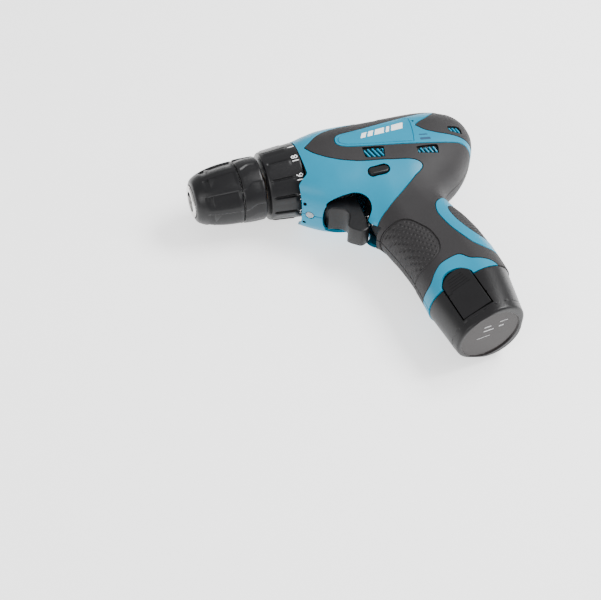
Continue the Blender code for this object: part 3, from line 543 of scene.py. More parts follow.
BLUE = moulded("blue_plastic_fine_grain", (0.0, 0.22, 0.36), 0.34, 5200.0, 0.16, 0.03, worn=0.2,
               Specular_IOR_Level=0.25)
RUBBER = moulded("soft_rubber_grey", (0.02, 0.0185, 0.0195), 0.6, 3600.0, 0.5, 0.1, speck=0.18, worn=0.25,
                 Specular_IOR_Level=0.3)
BLACK = moulded("black_plastic_satin", (0.006, 0.006, 0.007), 0.34, 4200.0, 0.3, 0.1, speck=0.05, worn=0.3,
                Specular_IOR_Level=0.3)
# Matt black for the black parts, and as painted shade in the shell's openings and on the screw heads' cross
# recesses.
MATT_BLACK_AND_SHADE = moulded("black_plastic_matt", (0.004, 0.004, 0.0045), 0.6, 3600.0, 0.4, 0.08,
                     Specular_IOR_Level=0.2)
PACK_BLACK = moulded("pack_plastic_black", (0.0075, 0.0072, 0.008), 0.33, 4600.0, 0.22, 0.1,
                     speck=0.05, worn=0.25, Specular_IOR_Level=0.3)
BRIGHT = moulded("bright_steel_turned", (0.62, 0.61, 0.6), 0.26, 900.0, 0.12, 0.05, worn=0,
                 stretch=(9.0, 1.0, 1.0), Metallic=1.0)
DARK_STEEL = moulded("dark_steel", (0.2, 0.2, 0.21), 0.42, 1500.0, 0.2, 0.08, worn=0.2, Metallic=1.0)
BRONZE = moulded("sintered_bronze", (0.42, 0.26, 0.13), 0.5, 3800.0, 0.5, 0.1, speck=0.3, Metallic=1.0)
GREY = moulded("grey_polymer", (0.3, 0.3, 0.31), 0.55, 3600.0, 0.3, 0.06)
COPPER = moulded("copper_windings", (0.6, 0.27, 0.14), 0.38, 1800.0, 0.3, 0.1,
                 stretch=(1.0, 6.0, 6.0), Metallic=1.0)
WRAP = moulded("cell_wrap_green", (0.08, 0.3, 0.16), 0.36, 1500.0, 0.1, 0.05)
LEAD = moulded("lead_red", (0.45, 0.025, 0.02), 0.5, 2400.0, 0.2, 0.06)
LABEL = moulded("label_plate_gloss", (0.014, 0.0105, 0.0105), 0.24, 900.0, 0.05, 0.1, Specular_IOR_Level=0.2,
                Coat_Weight=0.06, Coat_Roughness=0.06)
WHITE = moulded("white_print", (0.95, 0.95, 0.95), 0.45, 6000.0, 0.3, 0.03, worn=0)
PRINT_GREY = moulded("grey_print", (0.45, 0.45, 0.46), 0.5, 6000.0, 0.2, 0.04, worn=0)
INK = moulded("dark_blue_print", (0.0, 0.05, 0.12), 0.45, 6000.0, 0.3, 0.05, worn=0)
LENS = moulded("lamp_lens_clear", (0.85, 0.88, 0.9), 0.08, 1200.0, 0.04, 0.02, worn=0,
               Transmission_Weight=0.7, IOR=1.49)


def dimpled_rubber():
    """The rubber with a regular pattern of small round dimples."""
    material = RUBBER.copy()
    material.name = "soft_rubber_dimpled"
    nodes, links = material.node_tree.nodes, material.node_tree.links
    grain = next(n for n in nodes if n.type == "BUMP")
    place = next(n for n in nodes if n.type == "TEX_COORD").outputs["Object"]
    turn = nodes.new("ShaderNodeMapping")
    turn.inputs["Rotation"].default_value = (0.0, 0.0, 0.9)
    turn.inputs["Scale"].default_value = (1.0, 1.0, 0.0)
    links.new(place, turn.inputs["Vector"])
    cells = nodes.new("ShaderNodeTexVoronoi")
    cells.inputs["Scale"].default_value = 370.0
    cells.inputs["Randomness"].default_value = 0.12
    links.new(turn.outputs["Vector"], cells.inputs["Vector"])
    depth = ranged(nodes, links, cells.outputs["Distance"], 0.0, 1.0, 0.16, 0.36)
    dimple = nodes.new("ShaderNodeBump")
    dimple.inputs["Strength"].default_value = 0.9
    dimple.inputs["Distance"].default_value = 0.0006
    links.new(depth, dimple.inputs["Height"])
    links.new(dimple.outputs["Normal"], grain.inputs["Normal"])
    return material


DIMPLED = dimpled_rubber()

# ---------------------------------------------------------------- outlines on the side of the shell

COVER = smooth_outline((
    (75.0, 2.5), (75.0, 2.5), (79.0, -4.0), (85.0, -9.8), (91.0, -13.8), (97.5, -16.8), (104.0, -19.0),
    (111.0, -20.6), (118.0, -22.0), (125.0, -23.6), (133.0, -25.2), (138.0, -26.8), (141.3, -29.2),
    (142.2, -32.0), (140.0, -34.8), (135.0, -38.2), (130.0, -42.0), (120.0, -49.0), (115.0, -52.2),
    (111.0, -55.0), (106.0, -58.2), (103.0, -61.0), (100.5, -64.5), (96.0, -67.5), (88.0, -69.0),
    (88.0, -69.0), (88.0, -116.5), (88.0, -116.5), (104.0, -116.5), (112.0, -116.5), (115.0, -115.8),
    (117.0, -114.0), (119.5, -111.0), (125.0, -107.0), (134.0, -105.0), (138.0, -106.0), (142.0, -110.5),
    (148.0, -113.0), (153.0, -115.5), (156.0, -119.0), (158.0, -124.0), (158.0, -124.0), (159.0, -137.0),
    (159.0, -137.0), (200.0, -137.0), (200.0, -137.0), (200.0, 40.0), (200.0, 40.0), (111.8, 40.0),
    (111.8, 40.0), (111.8, 16.8), (111.8, 16.8), (106.0, 16.3), (100.0, 15.6), (93.0, 14.0), (88.0, 12.0),
    (84.0, 9.6), (79.0, 5.4)))
PANEL = smooth_outline((
    (95.0, -1.3), (95.1, 1.7), (96.4, 4.6), (99.5, 6.2), (105.0, 6.7), (110.0, 7.2), (122.0, 8.7),
    (134.0, 10.3), (146.0, 11.9), (155.0, 13.4), (163.0, 15.0), (168.0, 16.0), (168.0, 16.0),
    (165.5, 12.8), (159.0, 7.3), (153.0, 4.0), (149.0, 1.0), (149.0, 1.0), (151.0, -1.5), (154.0, -4.8),
    (158.0, -7.0), (162.0, -8.8), (168.0, -10.4), (172.0, -11.3), (176.0, -12.3), (179.0, -13.2),
    (183.0, -14.5), (187.5, -15.8), (187.5, -15.8), (183.5, -18.2), (180.0, -18.2), (177.0, -17.4),
    (173.0, -16.8), (167.0, -17.1), (159.0, -16.9), (151.0, -15.9), (144.0, -14.9), (137.0, -13.6),
    (130.0, -12.2), (122.0, -10.6), (115.0, -9.2), (108.0, -7.6), (101.0, -5.8), (97.0, -3.9)))
PLATE_LINE = smooth_outline((
    (97.2, -0.6), (97.4, 1.8), (98.6, 3.9), (101.0, 4.8), (106.0, 5.2), (122.0, 7.2), (134.0, 8.8),
    (143.0, 10.0), (147.5, 9.0), (147.5, 9.0), (146.8, 3.0), (145.3, -5.0), (143.2, -12.9),
    (143.2, -12.9), (130.0, -10.2), (116.0, -7.3), (106.0, -5.2), (100.0, -3.4)))
WEDGE = smooth_outline((
    (158.0, -50.5), (150.0, -53.5), (144.0, -57.5), (140.0, -61.0), (138.0, -65.0), (137.2, -70.0),
    (138.2, -76.0), (140.4, -84.0), (144.4, -93.0), (149.0, -100.5), (156.0, -105.0), (166.0, -107.5),
    (175.0, -108.5), (175.0, -108.5), (178.0, -50.0), (178.0, -50.0)))
WEDGE_STRIP = smooth_outline((
    (156.0, -59.5), (150.0, -62.5), (146.4, -65.3), (145.0, -69.0), (145.2, -73.5), (146.8, -80.0),
    (151.0, -88.5), (157.0, -95.0), (166.0, -98.5), (175.0, -99.5), (175.0, -99.5), (177.0, -58.0),
    (177.0, -58.0)))
PAD = smooth_outline((
    (88.0, -66.3), (88.0, -66.3), (104.0, -66.3), (109.0, -66.4), (113.0, -66.8), (117.0, -68.0),
    (120.5, -70.6), (124.0, -75.3), (127.4, -80.5), (129.0, -86.5), (129.4, -92.0), (127.4, -98.0),
    (122.0, -102.4), (117.0, -104.0), (111.0, -104.6), (104.0, -104.8), (88.0, -104.8), (88.0, -104.8)))
ARCH = ((77.4, -36.4), (85.0, -36.9), (91.0, -37.2), (95.0, -37.5), (99.0, -38.9), (102.0, -41.6),
        (103.3, -45.0), (103.0, -49.0), (101.2, -52.4), (98.6, -55.2), (96.0, -57.0))
ARCH_ROOM = smooth_outline((ARCH[0], *ARCH, (90.0, -58.5), (90.0, -58.5), (77.4, -61.0), (77.4, -61.0)))
VENTS = (
    ((109.6, -10.2), (111.2, -9.6), (121.6, -11.9), (122.9, -13.4), (121.4, -19.4), (120.0, -20.4),
     (110.2, -18.0), (109.2, -16.6)),
    ((143.2, -18.4), (144.6, -17.6), (155.8, -18.0), (157.2, -19.4), (156.2, -23.6), (154.8, -24.4),
     (144.0, -23.0), (142.8, -21.8)),
    ((169.8, -4.2), (171.2, -3.2), (177.4, -2.6), (178.8, -3.8), (178.9, -8.0), (177.4, -8.9),
     (171.2, -8.1), (169.9, -6.9)),
)
SPEED_PLATE = ((114.8, 17.4), (114.8, 45.0), (130.4, 45.0), (130.4, 17.4))
TOP_SLOT = smooth_outline(((170.6, 13.6), (170.6, 18.6), (175.6, 17.4), (175.8, 12.6)))
SIDE_HOLES = ((149.3, 5.2, 0.75),)
CHIN_HOLE, CHIN_HOLE_R = (66.3, -29.3, 8.0), 1.3
REVERSE = (114.0, -29.0, 13.0, 5.6)
REVERSE_ROOM = 0.75
TAB_TURN = math.radians(28.0)
SCREWS = ((77.5, -28.0), (170.6, 5.3), (113.6, -71.8), (153.0, -66.0), (146.0, -36.0))
LAMP_PLACE = (68.6, -32.4, 0.0)
STRIP_PITCH, STRIP_RELIEF = 2.4, 0.28
RIB_PITCH = 2.75
RIB_HALF = 0.62
STROKES = ((111.5, 3.4, 2.2), (116.2, 3.4, 2.2), (120.9, 6.4, 2.2), (128.7, 2.2, 2.2), (132.3, 8.0, 2.2))


def stroke_outline(x, length, lean):
    """Slanted bar of the plain decorative mark on the blue panel."""
    low, high = -1.6 + 0.05 * (x - 110), 2.6 + 0.1 * (x - 110)
    return ((x, low), (x + length, low + 0.05 * length),
            (x + length + lean, high + 0.1 * length), (x + lean, high))


WHITE_MARKS = [stroke_outline(*stroke) for stroke in STROKES]
DARK_MARKS = [((148.2, -8.9), (153.8, -9.6), (153.9, -8.5), (148.4, -7.8)),
              ((147.6, -12.9), (154.6, -13.6), (154.8, -11.6), (147.9, -10.9))]


def nearest_line(p, outlines):
    return np.min([outline_distance(p[:, 0], p[:, 1], outline) for outline in outlines], 0)


VENT_LINES = [smooth_outline(vent, 3) for vent in VENTS]


def vent_ribs(p):
    """Slats standing in the vents, below a slat-free strip at each vent's upper edge, where the black
    painted shade shows.
    """
    place = np.mod(p[:, 0] + 0.35 * p[:, 1], RIB_PITCH) - RIB_PITCH / 2
    under = nearest_line(p, [line - np.array((0.5, 1.3)) for line in VENT_LINES])
    return np.maximum(np.maximum(nearest_line(p, VENT_LINES) + 0.35, under), np.abs(place) - RIB_HALF)


def side_line(outline):
    """Distance to an outline as seen from the side."""
    return lambda p: outline_distance(p[:, 0], p[:, 1], outline)


def stadium(p, room):
    """Distance to the reverse button's outline, grown by room."""
    x, y, length, height = REVERSE
    half = (length - height) / 2
    return np.hypot(np.maximum(np.abs(p[:, 0] - x) - half, 0), p[:, 1] - y) - height / 2 - room


def ball(centre, radius):
    """Distance to a ball, for round features on curved places."""
    return lambda p: np.linalg.norm(p - np.array(centre), axis=1) - radius


def side_hole(x, y, radius):
    """Distance to a round hole through the side."""
    return lambda p: np.hypot(p[:, 0] - x, p[:, 1] - y) - radius


def tab_place(p):
    """Across, up and out on the pack's slanted left face."""
    along = (p[..., 0] - PACK_X) * math.cos(PACK_TILT) + (p[..., 1] - PACK_Y) * math.sin(PACK_TILT)
    cos, sin = math.cos(TAB_TURN), math.sin(TAB_TURN)
    return (along * cos + p[..., 2] * sin, pack_height(p), -along * sin + p[..., 2] * cos)


def tab_distance(p, room=0.0):
    """Distance to the latch tab's outline: straight sides and a round top."""
    across, up, out = tab_place(p)
    crown = TAB_CROWN - TAB_SINK * (np.abs(across - TAB_MIDDLE) / TAB_HALF) ** TAB_POWER
    ends = np.maximum(TAB_LOW - up + 0.7 * room, up - crown)
    side = np.maximum(np.abs(across - TAB_MIDDLE) - TAB_HALF, ends) - room
    return np.where(out > 12.0, side, 5.0)


def front_room(p):
    """Positive on the part of the body that is behind the torque ring or under it."""
    radius = np.hypot(p[:, 1], p[:, 2])
    front = SHELL_FRONT_X - (SHELL_FRONT_X - CHIN_FRONT_X) * smooth_step(17.0, 22.5, -p[:, 1])
    return np.maximum(p[:, 0] - SHELL_FRONT_X, np.minimum(radius - RING_CLEAR_R, p[:, 0] - front))


# Profiles: distance from the line, then how far the surface goes out there
GROOVE = ((-0.42, 0.0), (0.0, -0.65), (0.42, 0.0))
FINE_GROOVE = ((-0.4, 0.0), (0.0, -0.5), (0.4, 0.0))
RECESS = ((-0.2, -1.5), (0.0, 0.0))


def shell_features(screws):
    """Lines cut into the shell, each with its (distance, relief) profile."""
    features = [
        (side_line(COVER), GROOVE), (side_line(PANEL), GROOVE), (side_line(WEDGE), GROOVE),
        (side_line(WEDGE_STRIP), ((-0.6, -0.5), (0.0, -0.7), (0.35, 0.0))),
        (side_line(PLATE_LINE), FINE_GROOVE),
        (lambda p: nearest_line(p, WHITE_MARKS), ((0.0, 0.0),)),
        (lambda p: nearest_line(p, DARK_MARKS), ((0.0, 0.0),)),
        (side_line(PAD), ((-0.9, -0.25), (-0.35, -0.75), (0.35, -0.75), (0.6, 0.0))),
        (side_line(SPEED_PLATE), ((-0.4, -0.6), (-0.05, -0.6), (0.15, 0.0))),
        (side_line(TOP_SLOT), RECESS),
        (lambda p: stadium(p, REVERSE_ROOM), ((-0.25, -2.2), (0.0, 0.0))),
        (ball(CHIN_HOLE, CHIN_HOLE_R), ((-0.3, -1.4), (0.0, 0.0))),
        (ball(LAMP_PLACE, 3.2), ((-0.4, -1.2), (0.0, 0.0))),
        (lambda p: p[:, 2] - GAP, ((0.0, -0.35), (0.35, 0.0))),
    ]
    features += [(lambda p: nearest_line(p, VENT_LINES), RECESS), (vent_ribs, ((-0.15, 1.2), (0.0, 0.0)))]
    features += [(side_hole(*hole), ((-0.2, -0.9), (0.0, 0.0))) for hole in SIDE_HOLES]
    features += [(side_hole(*place, HEAD_R + 0.35), ((-0.25, -2.4), (0.0, 0.0))) for place in screws]
    return features


SHELL_MATERIALS = (BLUE, RUBBER, MATT_BLACK_AND_SHADE, WHITE, INK, DIMPLED)
BLUE_AREA, RUBBER_AREA, BLACK_PART_AND_SHADE_AREA, WHITE_AREA, INK_AREA, DIMPLED_AREA = range(6)


def region(p):
    """Which material a point on the shell has, as an index into SHELL_MATERIALS."""
    x, y = p[:, 0], p[:, 1]
    dark = (outline_distance(x, y, COVER) < 0) & (outline_distance(x, y, PANEL) > 0)
    dark &= (outline_distance(x, y, WEDGE) > 0) | (outline_distance(x, y, WEDGE_STRIP) < 0)
    which = np.where(dark, RUBBER_AREA, BLUE_AREA)
    which = np.where(dark & (outline_distance(x, y, PAD) < -0.9), DIMPLED_AREA, which)
    which = np.where(nearest_line(p, WHITE_MARKS) < 0, WHITE_AREA, which)
    which = np.where(nearest_line(p, DARK_MARKS) < 0, INK_AREA, which)
    # Matt black: the speed plate's own colour, and painted shade in the vents, the top slot, the round holes
    # and the gap round the reverse button.
    black = nearest_line(p, [SPEED_PLATE, TOP_SLOT, *VENT_LINES]) < 0
    black |= (stadium(p, REVERSE_ROOM) < 0) | (ball(CHIN_HOLE, CHIN_HOLE_R)(p) < 0)
    for hole in SIDE_HOLES:
        black |= side_hole(*hole)(p) < 0
    which = np.where(black, BLACK_PART_AND_SHADE_AREA, which)
    return np.where(vent_ribs(p) > 0, which, BLUE_AREA)


def slot_distance(p):
    """Positive outside the trigger's slot in the front of the guard."""
    across = np.maximum(p[:, 2] - SLOT_HALF, p[:, 0] - SLOT_REAR_X)
    return np.maximum(across, np.maximum(SLOT_Y[0] - p[:, 1], p[:, 1] - SLOT_Y[1]))


def slider_distance(p):
    """Positive outside the speed slider's slot in the top."""
    across = np.maximum(np.abs(p[:, 0] - SLIDER_X) - SLIDER_HALF, p[:, 2] - SLIDER_SIDE)
    return np.maximum(across, SLIDER_LOW_Y - p[:, 1])


def half_shell():
    """The left half's outer surface with its openings cut out."""
    points, triangles = surface_net(shell_field, HOUSING_LOW, HOUSING_HIGH, HOUSING_CELL)
    for room in (
            lambda p: p[:, 2] - GAP,
            front_room,
            lambda p: pack_height(p) - PACK_SHOULDER - GAP,
            side_line(ARCH_ROOM),
            slot_distance,
            lambda p: tab_distance(p, 0.6),
            slider_distance):
        points, triangles = keep_side(points, triangles, room(points))[:2]
    return points, triangles


def shell_piece(side, name, wanted, depth, surface):
    """One half's blue or rubber piece, made from the surface's triangles in the wanted regions."""
    moved, triangles, normals, which = surface
    chosen = np.isin(which, wanted)
    points, kept, out = compact(moved, triangles[chosen], normals)
    closed, faces = thicken(points, kept, out, depth)
    inner = closed[len(points):]
    beside = (points[:, 2] > SLOT_WALL_Z) & (points[:, 0] < 112) & (np.abs(points[:, 1] + 47) < 17.5)
    inner[beside, 2] = np.maximum(inner[beside, 2], SLOT_WALL_Z)
    closed[:, 2] = np.maximum(closed[:, 2], GAP)
    if side == "right":
        closed, faces = mirrored(closed, faces)
    made = piece("%s_%s_shell" % (name, side), closed, faces, SHELL_MATERIALS, "housing",
                 ("%s_%s" % (name, side),), 34.0)
    index = np.full(len(faces), wanted[0], np.int32)
    index[:len(kept)] = which[chosen]
    if len(made.data.polygons) == len(index):
        made.data.polygons.foreach_set("material_index", index)


def build_housing():
    points, triangles = half_shell()
    for side, screws in (("left", ()), ("right", SCREWS)):
        p, t, push = carve(points, triangles, shell_features(screws))
        normals = unit(gradient(shell_field, p))
        ribs = outline_distance(p[:, 0], p[:, 1], WEDGE_STRIP)
        push = push + np.where(ribs < -0.6, STRIP_RELIEF * np.sin(p[:, 1] * 2 * math.pi / STRIP_PITCH), 0)
        moved = p + normals * push[:, None]
        moved[:, 2] = np.maximum(moved[:, 2], GAP)
        surface = (moved, t, normals, region(p[t].mean(1)))
        shell_piece(side, "housing", (BLUE_AREA, BLACK_PART_AND_SHADE_AREA, WHITE_AREA, INK_AREA), WALL,
                    surface)
        shell_piece(side, "soft_cover", (RUBBER_AREA, DIMPLED_AREA), WALL * 0.9, surface)


# ---------------------------------------------------------------- pieces made of rings


def ramp(t):
    return smooth_step(0.0, 1.0, t)


def ring_faces(ring_count, around, closed):
    faces = []
    for k in range(ring_count if closed else ring_count - 1):
        for i in range(around):
            a, b = k * around, (k + 1) % ring_count * around
            j = (i + 1) % around
            faces.append((a + i, a + j, b + j, b + i))
    return faces


def outward(points, faces):
    """Turns the faces round when the closed piece's volume comes out negative."""
    volume = 0.0
    for face in faces:
        a = points[face[0]]
        for k in range(1, len(face) - 1):
            volume += float(np.dot(a, np.cross(points[face[k]], points[face[k + 1]])))
    return faces if volume > 0 else [tuple(reversed(f)) for f in faces]


def turned_piece(name, profile, radius_at, around, material, body, node):
    """Turned piece from (x, r, share) rings; share says how much of the relief a ring takes."""
    phi = 2 * math.pi * np.arange(around) / around
    rings = []
    for x, r, share in profile:
        radius = r + share * radius_at(x, phi)
        rings.append(np.stack((np.full(around, x), radius * np.cos(phi), radius * np.sin(phi)), -1))
    points = np.concatenate(rings)
    faces = ring_faces(len(rings), around, True)
    return piece(name, points, outward(points, faces), material, body, (node,), 32.0)


def sector(phi, count, turn=0.0):
    return np.mod((phi - turn) * count / (2 * math.pi), 1.0)


def sleeve_relief(x, phi):
    u = sector(phi, FLUTES, 0.2)
    dip = np.interp(u, (0.0, 0.05, 0.12, 0.78, 1.0), (0.0, 0.95, 1.0, 0.0, 0.0))
    return -FLUTE_DEPTH * dip * ramp((x - 7.0) / 3.0) * ramp((29.4 - x) / 1.6)


def collar_relief(x, phi):
    u = sector(phi + 0.16 * ramp((x - 31.0) / 8.0), FLUTES, 0.2)
    dip = np.interp(u, (0.0, 0.07, 0.2, 0.5, 1.0), (0.0, 1.0, 0.8, 0.0, 0.0))
    return -SCALLOP_DEPTH * dip * ramp((44.6 - x) / 2.0)


def clutch_relief(x, phi):
    u = sector(phi, RIBS, 0.1)
    ridge = np.interp(u, (0.0, 0.04, 0.1, 0.14, 0.24, 0.5, 1.0), (0.0, -0.8, -0.8, 0.45, 0.5, 0.0, 0.0))
    return ridge * ramp((x - 49.0) / 1.5) * ramp((64.4 - x) / 1.6)


def sleeve_profile():
    first, last = SLEEVE_X
    outer = []
    for i in range(45):
        t = i / 44
        x = first + (last - first) * t
        r = SLEEVE_NOSE_R + 8.0 * math.sin(math.pi / 2 * t ** 0.75) ** 0.75
        outer.append((x, min(r, SLEEVE_R) - 0.5 * ramp((x - 29.5) / 0.7), 1.0))
    return outer + [(last, SLEEVE_BORE_R, 0), (12.0, SLEEVE_BORE_R, 0), (8.5, 13.4, 0),
                    (4.2, SLEEVE_MOUTH_R, 0), (first, SLEEVE_MOUTH_R, 0)]


def collar_profile():
    first, last = COLLAR_X
    start, length = first + 0.4, last - first - 1.6
    outer = [(first, SLEEVE_BORE_R, 0), (first, 19.6, 0.6), (start, 20.2, 1.0)]
    for i in range(1, 17):
        outer.append((start + length * i / 16, COLLAR_R + 0.15 * math.sin(math.pi * i / 16), 1.0))
    return outer + [(last - 0.4, 20.0, 0.6), (last, 19.3, 0.0), (last, COLLAR_BORE_R, 0),
                    (42.6, COLLAR_BORE_R, 0), (42.6, SLEEVE_BORE_R, 0)]


def ring_profile():
    start, end = RING_X
    first, last = start - 1.0, end + 0.8
    outer = [(first, CLUTCH_INNER_R, 0), (first, 20.6, 0), (first + 0.3, 21.4, 0.3), (start, 21.85, 1.0)]
    for i in range(1, 27):
        t = i / 26
        outer.append((start + (end - start) * t, RING_FRONT_R + (RING_REAR_R - RING_FRONT_R) * t, 1.0))
    return outer + [(last - 0.2, 23.75, 0), (last, 23.3, 0), (last, 20.6, 0), (49.8, 20.0, 0),
                    (49.8, CLUTCH_INNER_R, 0)]


def build_chuck():
    turned_piece("front_sleeve_fluted", sleeve_profile(), sleeve_relief, 270, BLACK, "sleeve",
                 "chuck_front_sleeve")
    turned_piece("rear_collar_scalloped", collar_profile(), collar_relief, 270, BLACK, "chuck",
                 "chuck_rear_collar")
    turned_piece("torque_ring_ribbed", ring_profile(), clutch_relief, 288, BLACK, "torque_ring",
                 "torque_ring")
    wrap_marks()


def text_triangles(text, height):
    """Flat outline points and triangles of a number."""
    curve = bpy.data.curves.new("mark", "FONT")
    curve.body, curve.size, curve.align_x = text, height, "CENTER"
    holder = bpy.data.objects.new("mark", curve)
    bpy.context.scene.collection.objects.link(holder)
    mesh = holder.evaluated_get(bpy.context.evaluated_depsgraph_get()).to_mesh()
    mesh.calc_loop_triangles()
    points = np.array([tuple(v.co)[:2] for v in mesh.vertices])
    triangles = np.array([tuple(t.vertices) for t in mesh.loop_triangles])
    bpy.data.objects.remove(holder, do_unlink=True)
    bpy.data.curves.remove(curve)
    keys = {}
    index = np.array([keys.setdefault(tuple(np.round(p, 4)), len(keys)) for p in points])
    return np.array(list(keys)), index[triangles]


def drill_mark():
    """A drill bit's outline: a bar with a point, its tip towards the chuck."""
    outline = np.array(((-2.2, -0.45), (0.9, -0.45), (2.3, 0.0), (0.9, 0.45), (-2.2, 0.45)))
    return outline[:, ::-1] + np.array((0, 1.4)), np.array(((0, 1, 4), (1, 3, 4), (1, 2, 3)))


def wrap_marks():
    """The even numbers, the first position and the drill mark, laid round the torque ring's rear edge."""
    marks = [(*text_triangles("1", NUMBER_SIZE), LINE_MARK_TURN)]
    for n in range(2, NUMBER_LAST + 1, 2):
        marks.append((*text_triangles(str(n), NUMBER_SIZE), NUMBER_START - (n - 1) * NUMBER_STEP))
    marks.append((*drill_mark(), DRILL_MARK_TURN))
    all_points, all_faces, count = [], [], 0
    for flat, triangles, degrees in marks:
        x = NUMBER_FOOT_X - flat[:, 1]
        phi = math.radians(degrees) - flat[:, 0] / NUMBER_R
        r = np.interp(x, RING_X, (RING_FRONT_R, RING_REAR_R)) + 0.06
        normals = np.stack((np.zeros(len(x)), np.cos(phi), np.sin(phi)), -1)
        points = normals * r[:, None]
        points[:, 0] = x
        first = flat[triangles[:, 0]]
        area = np.cross(flat[triangles[:, 1]] - first, flat[triangles[:, 2]] - first)
        triangles = np.where(area[:, None] > 0, triangles, triangles[:, ::-1])
        closed, faces = thicken(points, triangles, normals, 0.16)
        all_points.append(closed)
        all_faces.append(faces + count)
        count += len(closed)
    piece("torque_ring_numbers", np.concatenate(all_points), np.concatenate(all_faces), WHITE, "torque_ring",
          crease=20)


def levelled_piece(name, outline, levels, place, material, body, nodes, crease=35.0):
    """Piece between copies of one outline: levels are (height, inset) pairs."""
    outline = np.asarray(outline, float)
    before, after = np.roll(outline, 1, 0), np.roll(outline, -1, 0)
    side = after - before
    normal = np.stack((side[:, 1], -side[:, 0]), -1)
    normal /= np.linalg.norm(normal, axis=1)[:, None] + 1e-9
    area = np.sum(outline[:, 0] * after[:, 1] - after[:, 0] * outline[:, 1])
    normal *= 1 if area > 0 else -1
    around = len(outline)
    points = np.concatenate([place(*(outline - normal * inset).T, height) for height, inset in levels])
    faces = ring_faces(len(levels), around, False)
    faces += [tuple(range(around)), tuple(range(len(points) - around, len(points)))]
    made = piece(name, points, outward(points, faces), material, body, nodes, crease)
    for face in made.data.polygons[len(faces) - 2:]:
        face.use_smooth = False
    return made


def rounded_levels(low, high, radius, steps=4):
    """Levels with both ends rounded over."""
    ends = []
    for i in range(steps + 1):
        a = math.pi / 2 * i / steps
        ends.append((radius * (1 - math.sin(a)), radius * (1 - math.cos(a))))
    start = [(low + up, inset) for up, inset in reversed(ends)]
    stop = [(high - up, inset) for up, inset in ends]
    return start + stop


def beside(x, y, z):
    return np.stack(np.broadcast_arrays(x, y, z), -1)


def lever(x, y, z):
    """The trigger's finger part gets narrower and rounder towards its end."""
    down = smooth_step(44.0, 61.0, -y)
    return beside(x, y + 2.6 * down, z * (1 - 0.26 * down))


def build_trigger():
    outline = smooth_outline((
        (79.0, -32.2), (79.0, -32.2), (98.6, -32.2), (98.6, -32.2), (98.6, -61.0), (98.6, -61.0),
        (94.0, -62.9), (90.4, -61.0), (87.5, -58.3), (86.4, -55.2), (88.5, -50.5), (89.5, -46.5),
        (88.0, -42.6), (84.0, -40.1), (79.0, -38.9), (79.0, -38.9)), 3)
    levels = rounded_levels(-TRIGGER_HALF, TRIGGER_HALF, TRIGGER_ROUND, 3)
    levelled_piece("trigger_curved", outline, levels, lever, BLACK, "trigger", ("trigger",),
                   30)


def build_reverse_button():
    x, y, length, height = REVERSE
    outline = []
    for i in range(28):
        a = 2 * math.pi * i / 28
        end = math.copysign((length - height) / 2, math.cos(a))
        outline.append((x + end + height / 2 * math.cos(a), y + height / 2 * math.sin(a)))
    levels = rounded_levels(-REVERSE_REACH, REVERSE_REACH, REVERSE_ROUND)
    levelled_piece("reverse_button_bar", outline, levels, beside, BLACK, "reverse_button",
                   ("reverse_button",), 30)


def build_screw_heads():
    """Heads in front of the screws, in the right half's holes, each with a flat matt black cross on its face
    as painted shade for the cross recess.
    """
    for index, (x, y) in enumerate(SCREWS, 1):
        low = to_mm(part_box("housing_screw_%d" % index)[0])[2]
        head = [(x + HEAD_R * math.cos(a), y + HEAD_R * math.sin(a)) for a in np.arange(24) * math.pi / 12]
        levels = ((low - 0.05, 0.5), (low + 0.35, 0.1), (low + HEAD_HEIGHT, 0.0))
        levelled_piece("screw_head_%d" % index, head, levels, beside, DARK_STEEL, "housing", (),
                       30)
        # Two thin matt black bars on the head's face: painted shade standing in for the cross recess.
        for turn in (0.3, 0.3 + math.pi / 2):
            c, s = math.cos(turn), math.sin(turn)
            corners = ((-CROSS_HALF, -CROSS_WIDTH), (CROSS_HALF, -CROSS_WIDTH),
                       (CROSS_HALF, CROSS_WIDTH), (-CROSS_HALF, CROSS_WIDTH))
            bar = [(x + a * c - b * s, y + a * s + b * c) for a, b in corners]
            levelled_piece("screw_cross_%d_%d" % (index, round(turn)), bar,
                           ((low - 0.09, 0.0), (low + 0.2, 0.0)), beside, MATT_BLACK_AND_SHADE, "housing", (),
                           30)


def to_mm(row):
    """The tool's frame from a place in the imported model's frame."""
    return (np.asarray(row, float) - np.asarray(to_row(np.zeros(3)), float)) / MM


# ---------------------------------------------------------------- battery pack

PACK_UP = (0.0, 5.0, 14.0, 30.7)
PACK_FRONT = (24.0, 24.6, 25.0, 26.0)
PACK_REAR = (19.6, 20.6, 22.6, 26.4)
PACK_WIDE = (21.8, 22.1, 22.4, 22.6)
PACK_ROUND, PACK_EDGE, PACK_SEAM = 18.0, 1.3, 5.2
PLATE_MIDDLE, PLATE_LONG, PLATE_WIDE = -2.2, 19.3, 19.0
LABEL_FACE = 0.9


def pack_along(p):
    return (p[..., 0] - PACK_X) * math.cos(PACK_TILT) + (p[..., 1] - PACK_Y) * math.sin(PACK_TILT)


def pack_field(p):
    up = pack_height(p)
    along = pack_along(p)
    front, rear, wide = (np.interp(up, PACK_UP, t) for t in (PACK_FRONT, PACK_REAR, PACK_WIDE))
    side = pod_distance(along, p[..., 2], -front, rear, wide, PACK_ROUND)
    rounded = np.maximum(side + PACK_EDGE, 0), np.maximum(PACK_EDGE - up, 0)
    return np.maximum(np.maximum(side, np.hypot(*rounded) - PACK_EDGE), up - PACK_UP[-1])


PLATE = smooth_outline([(PLATE_MIDDLE + PLATE_LONG * math.cos(a), PLATE_WIDE * math.sin(a))
                        for a in np.arange(24) * math.pi / 12], 2)


def plate_distance(p):
    """Distance to the edge of the label plate in the pack's bottom."""
    return np.where(pack_height(p) < 6, outline_distance(pack_along(p), p[:, 2], PLATE), 4.0)


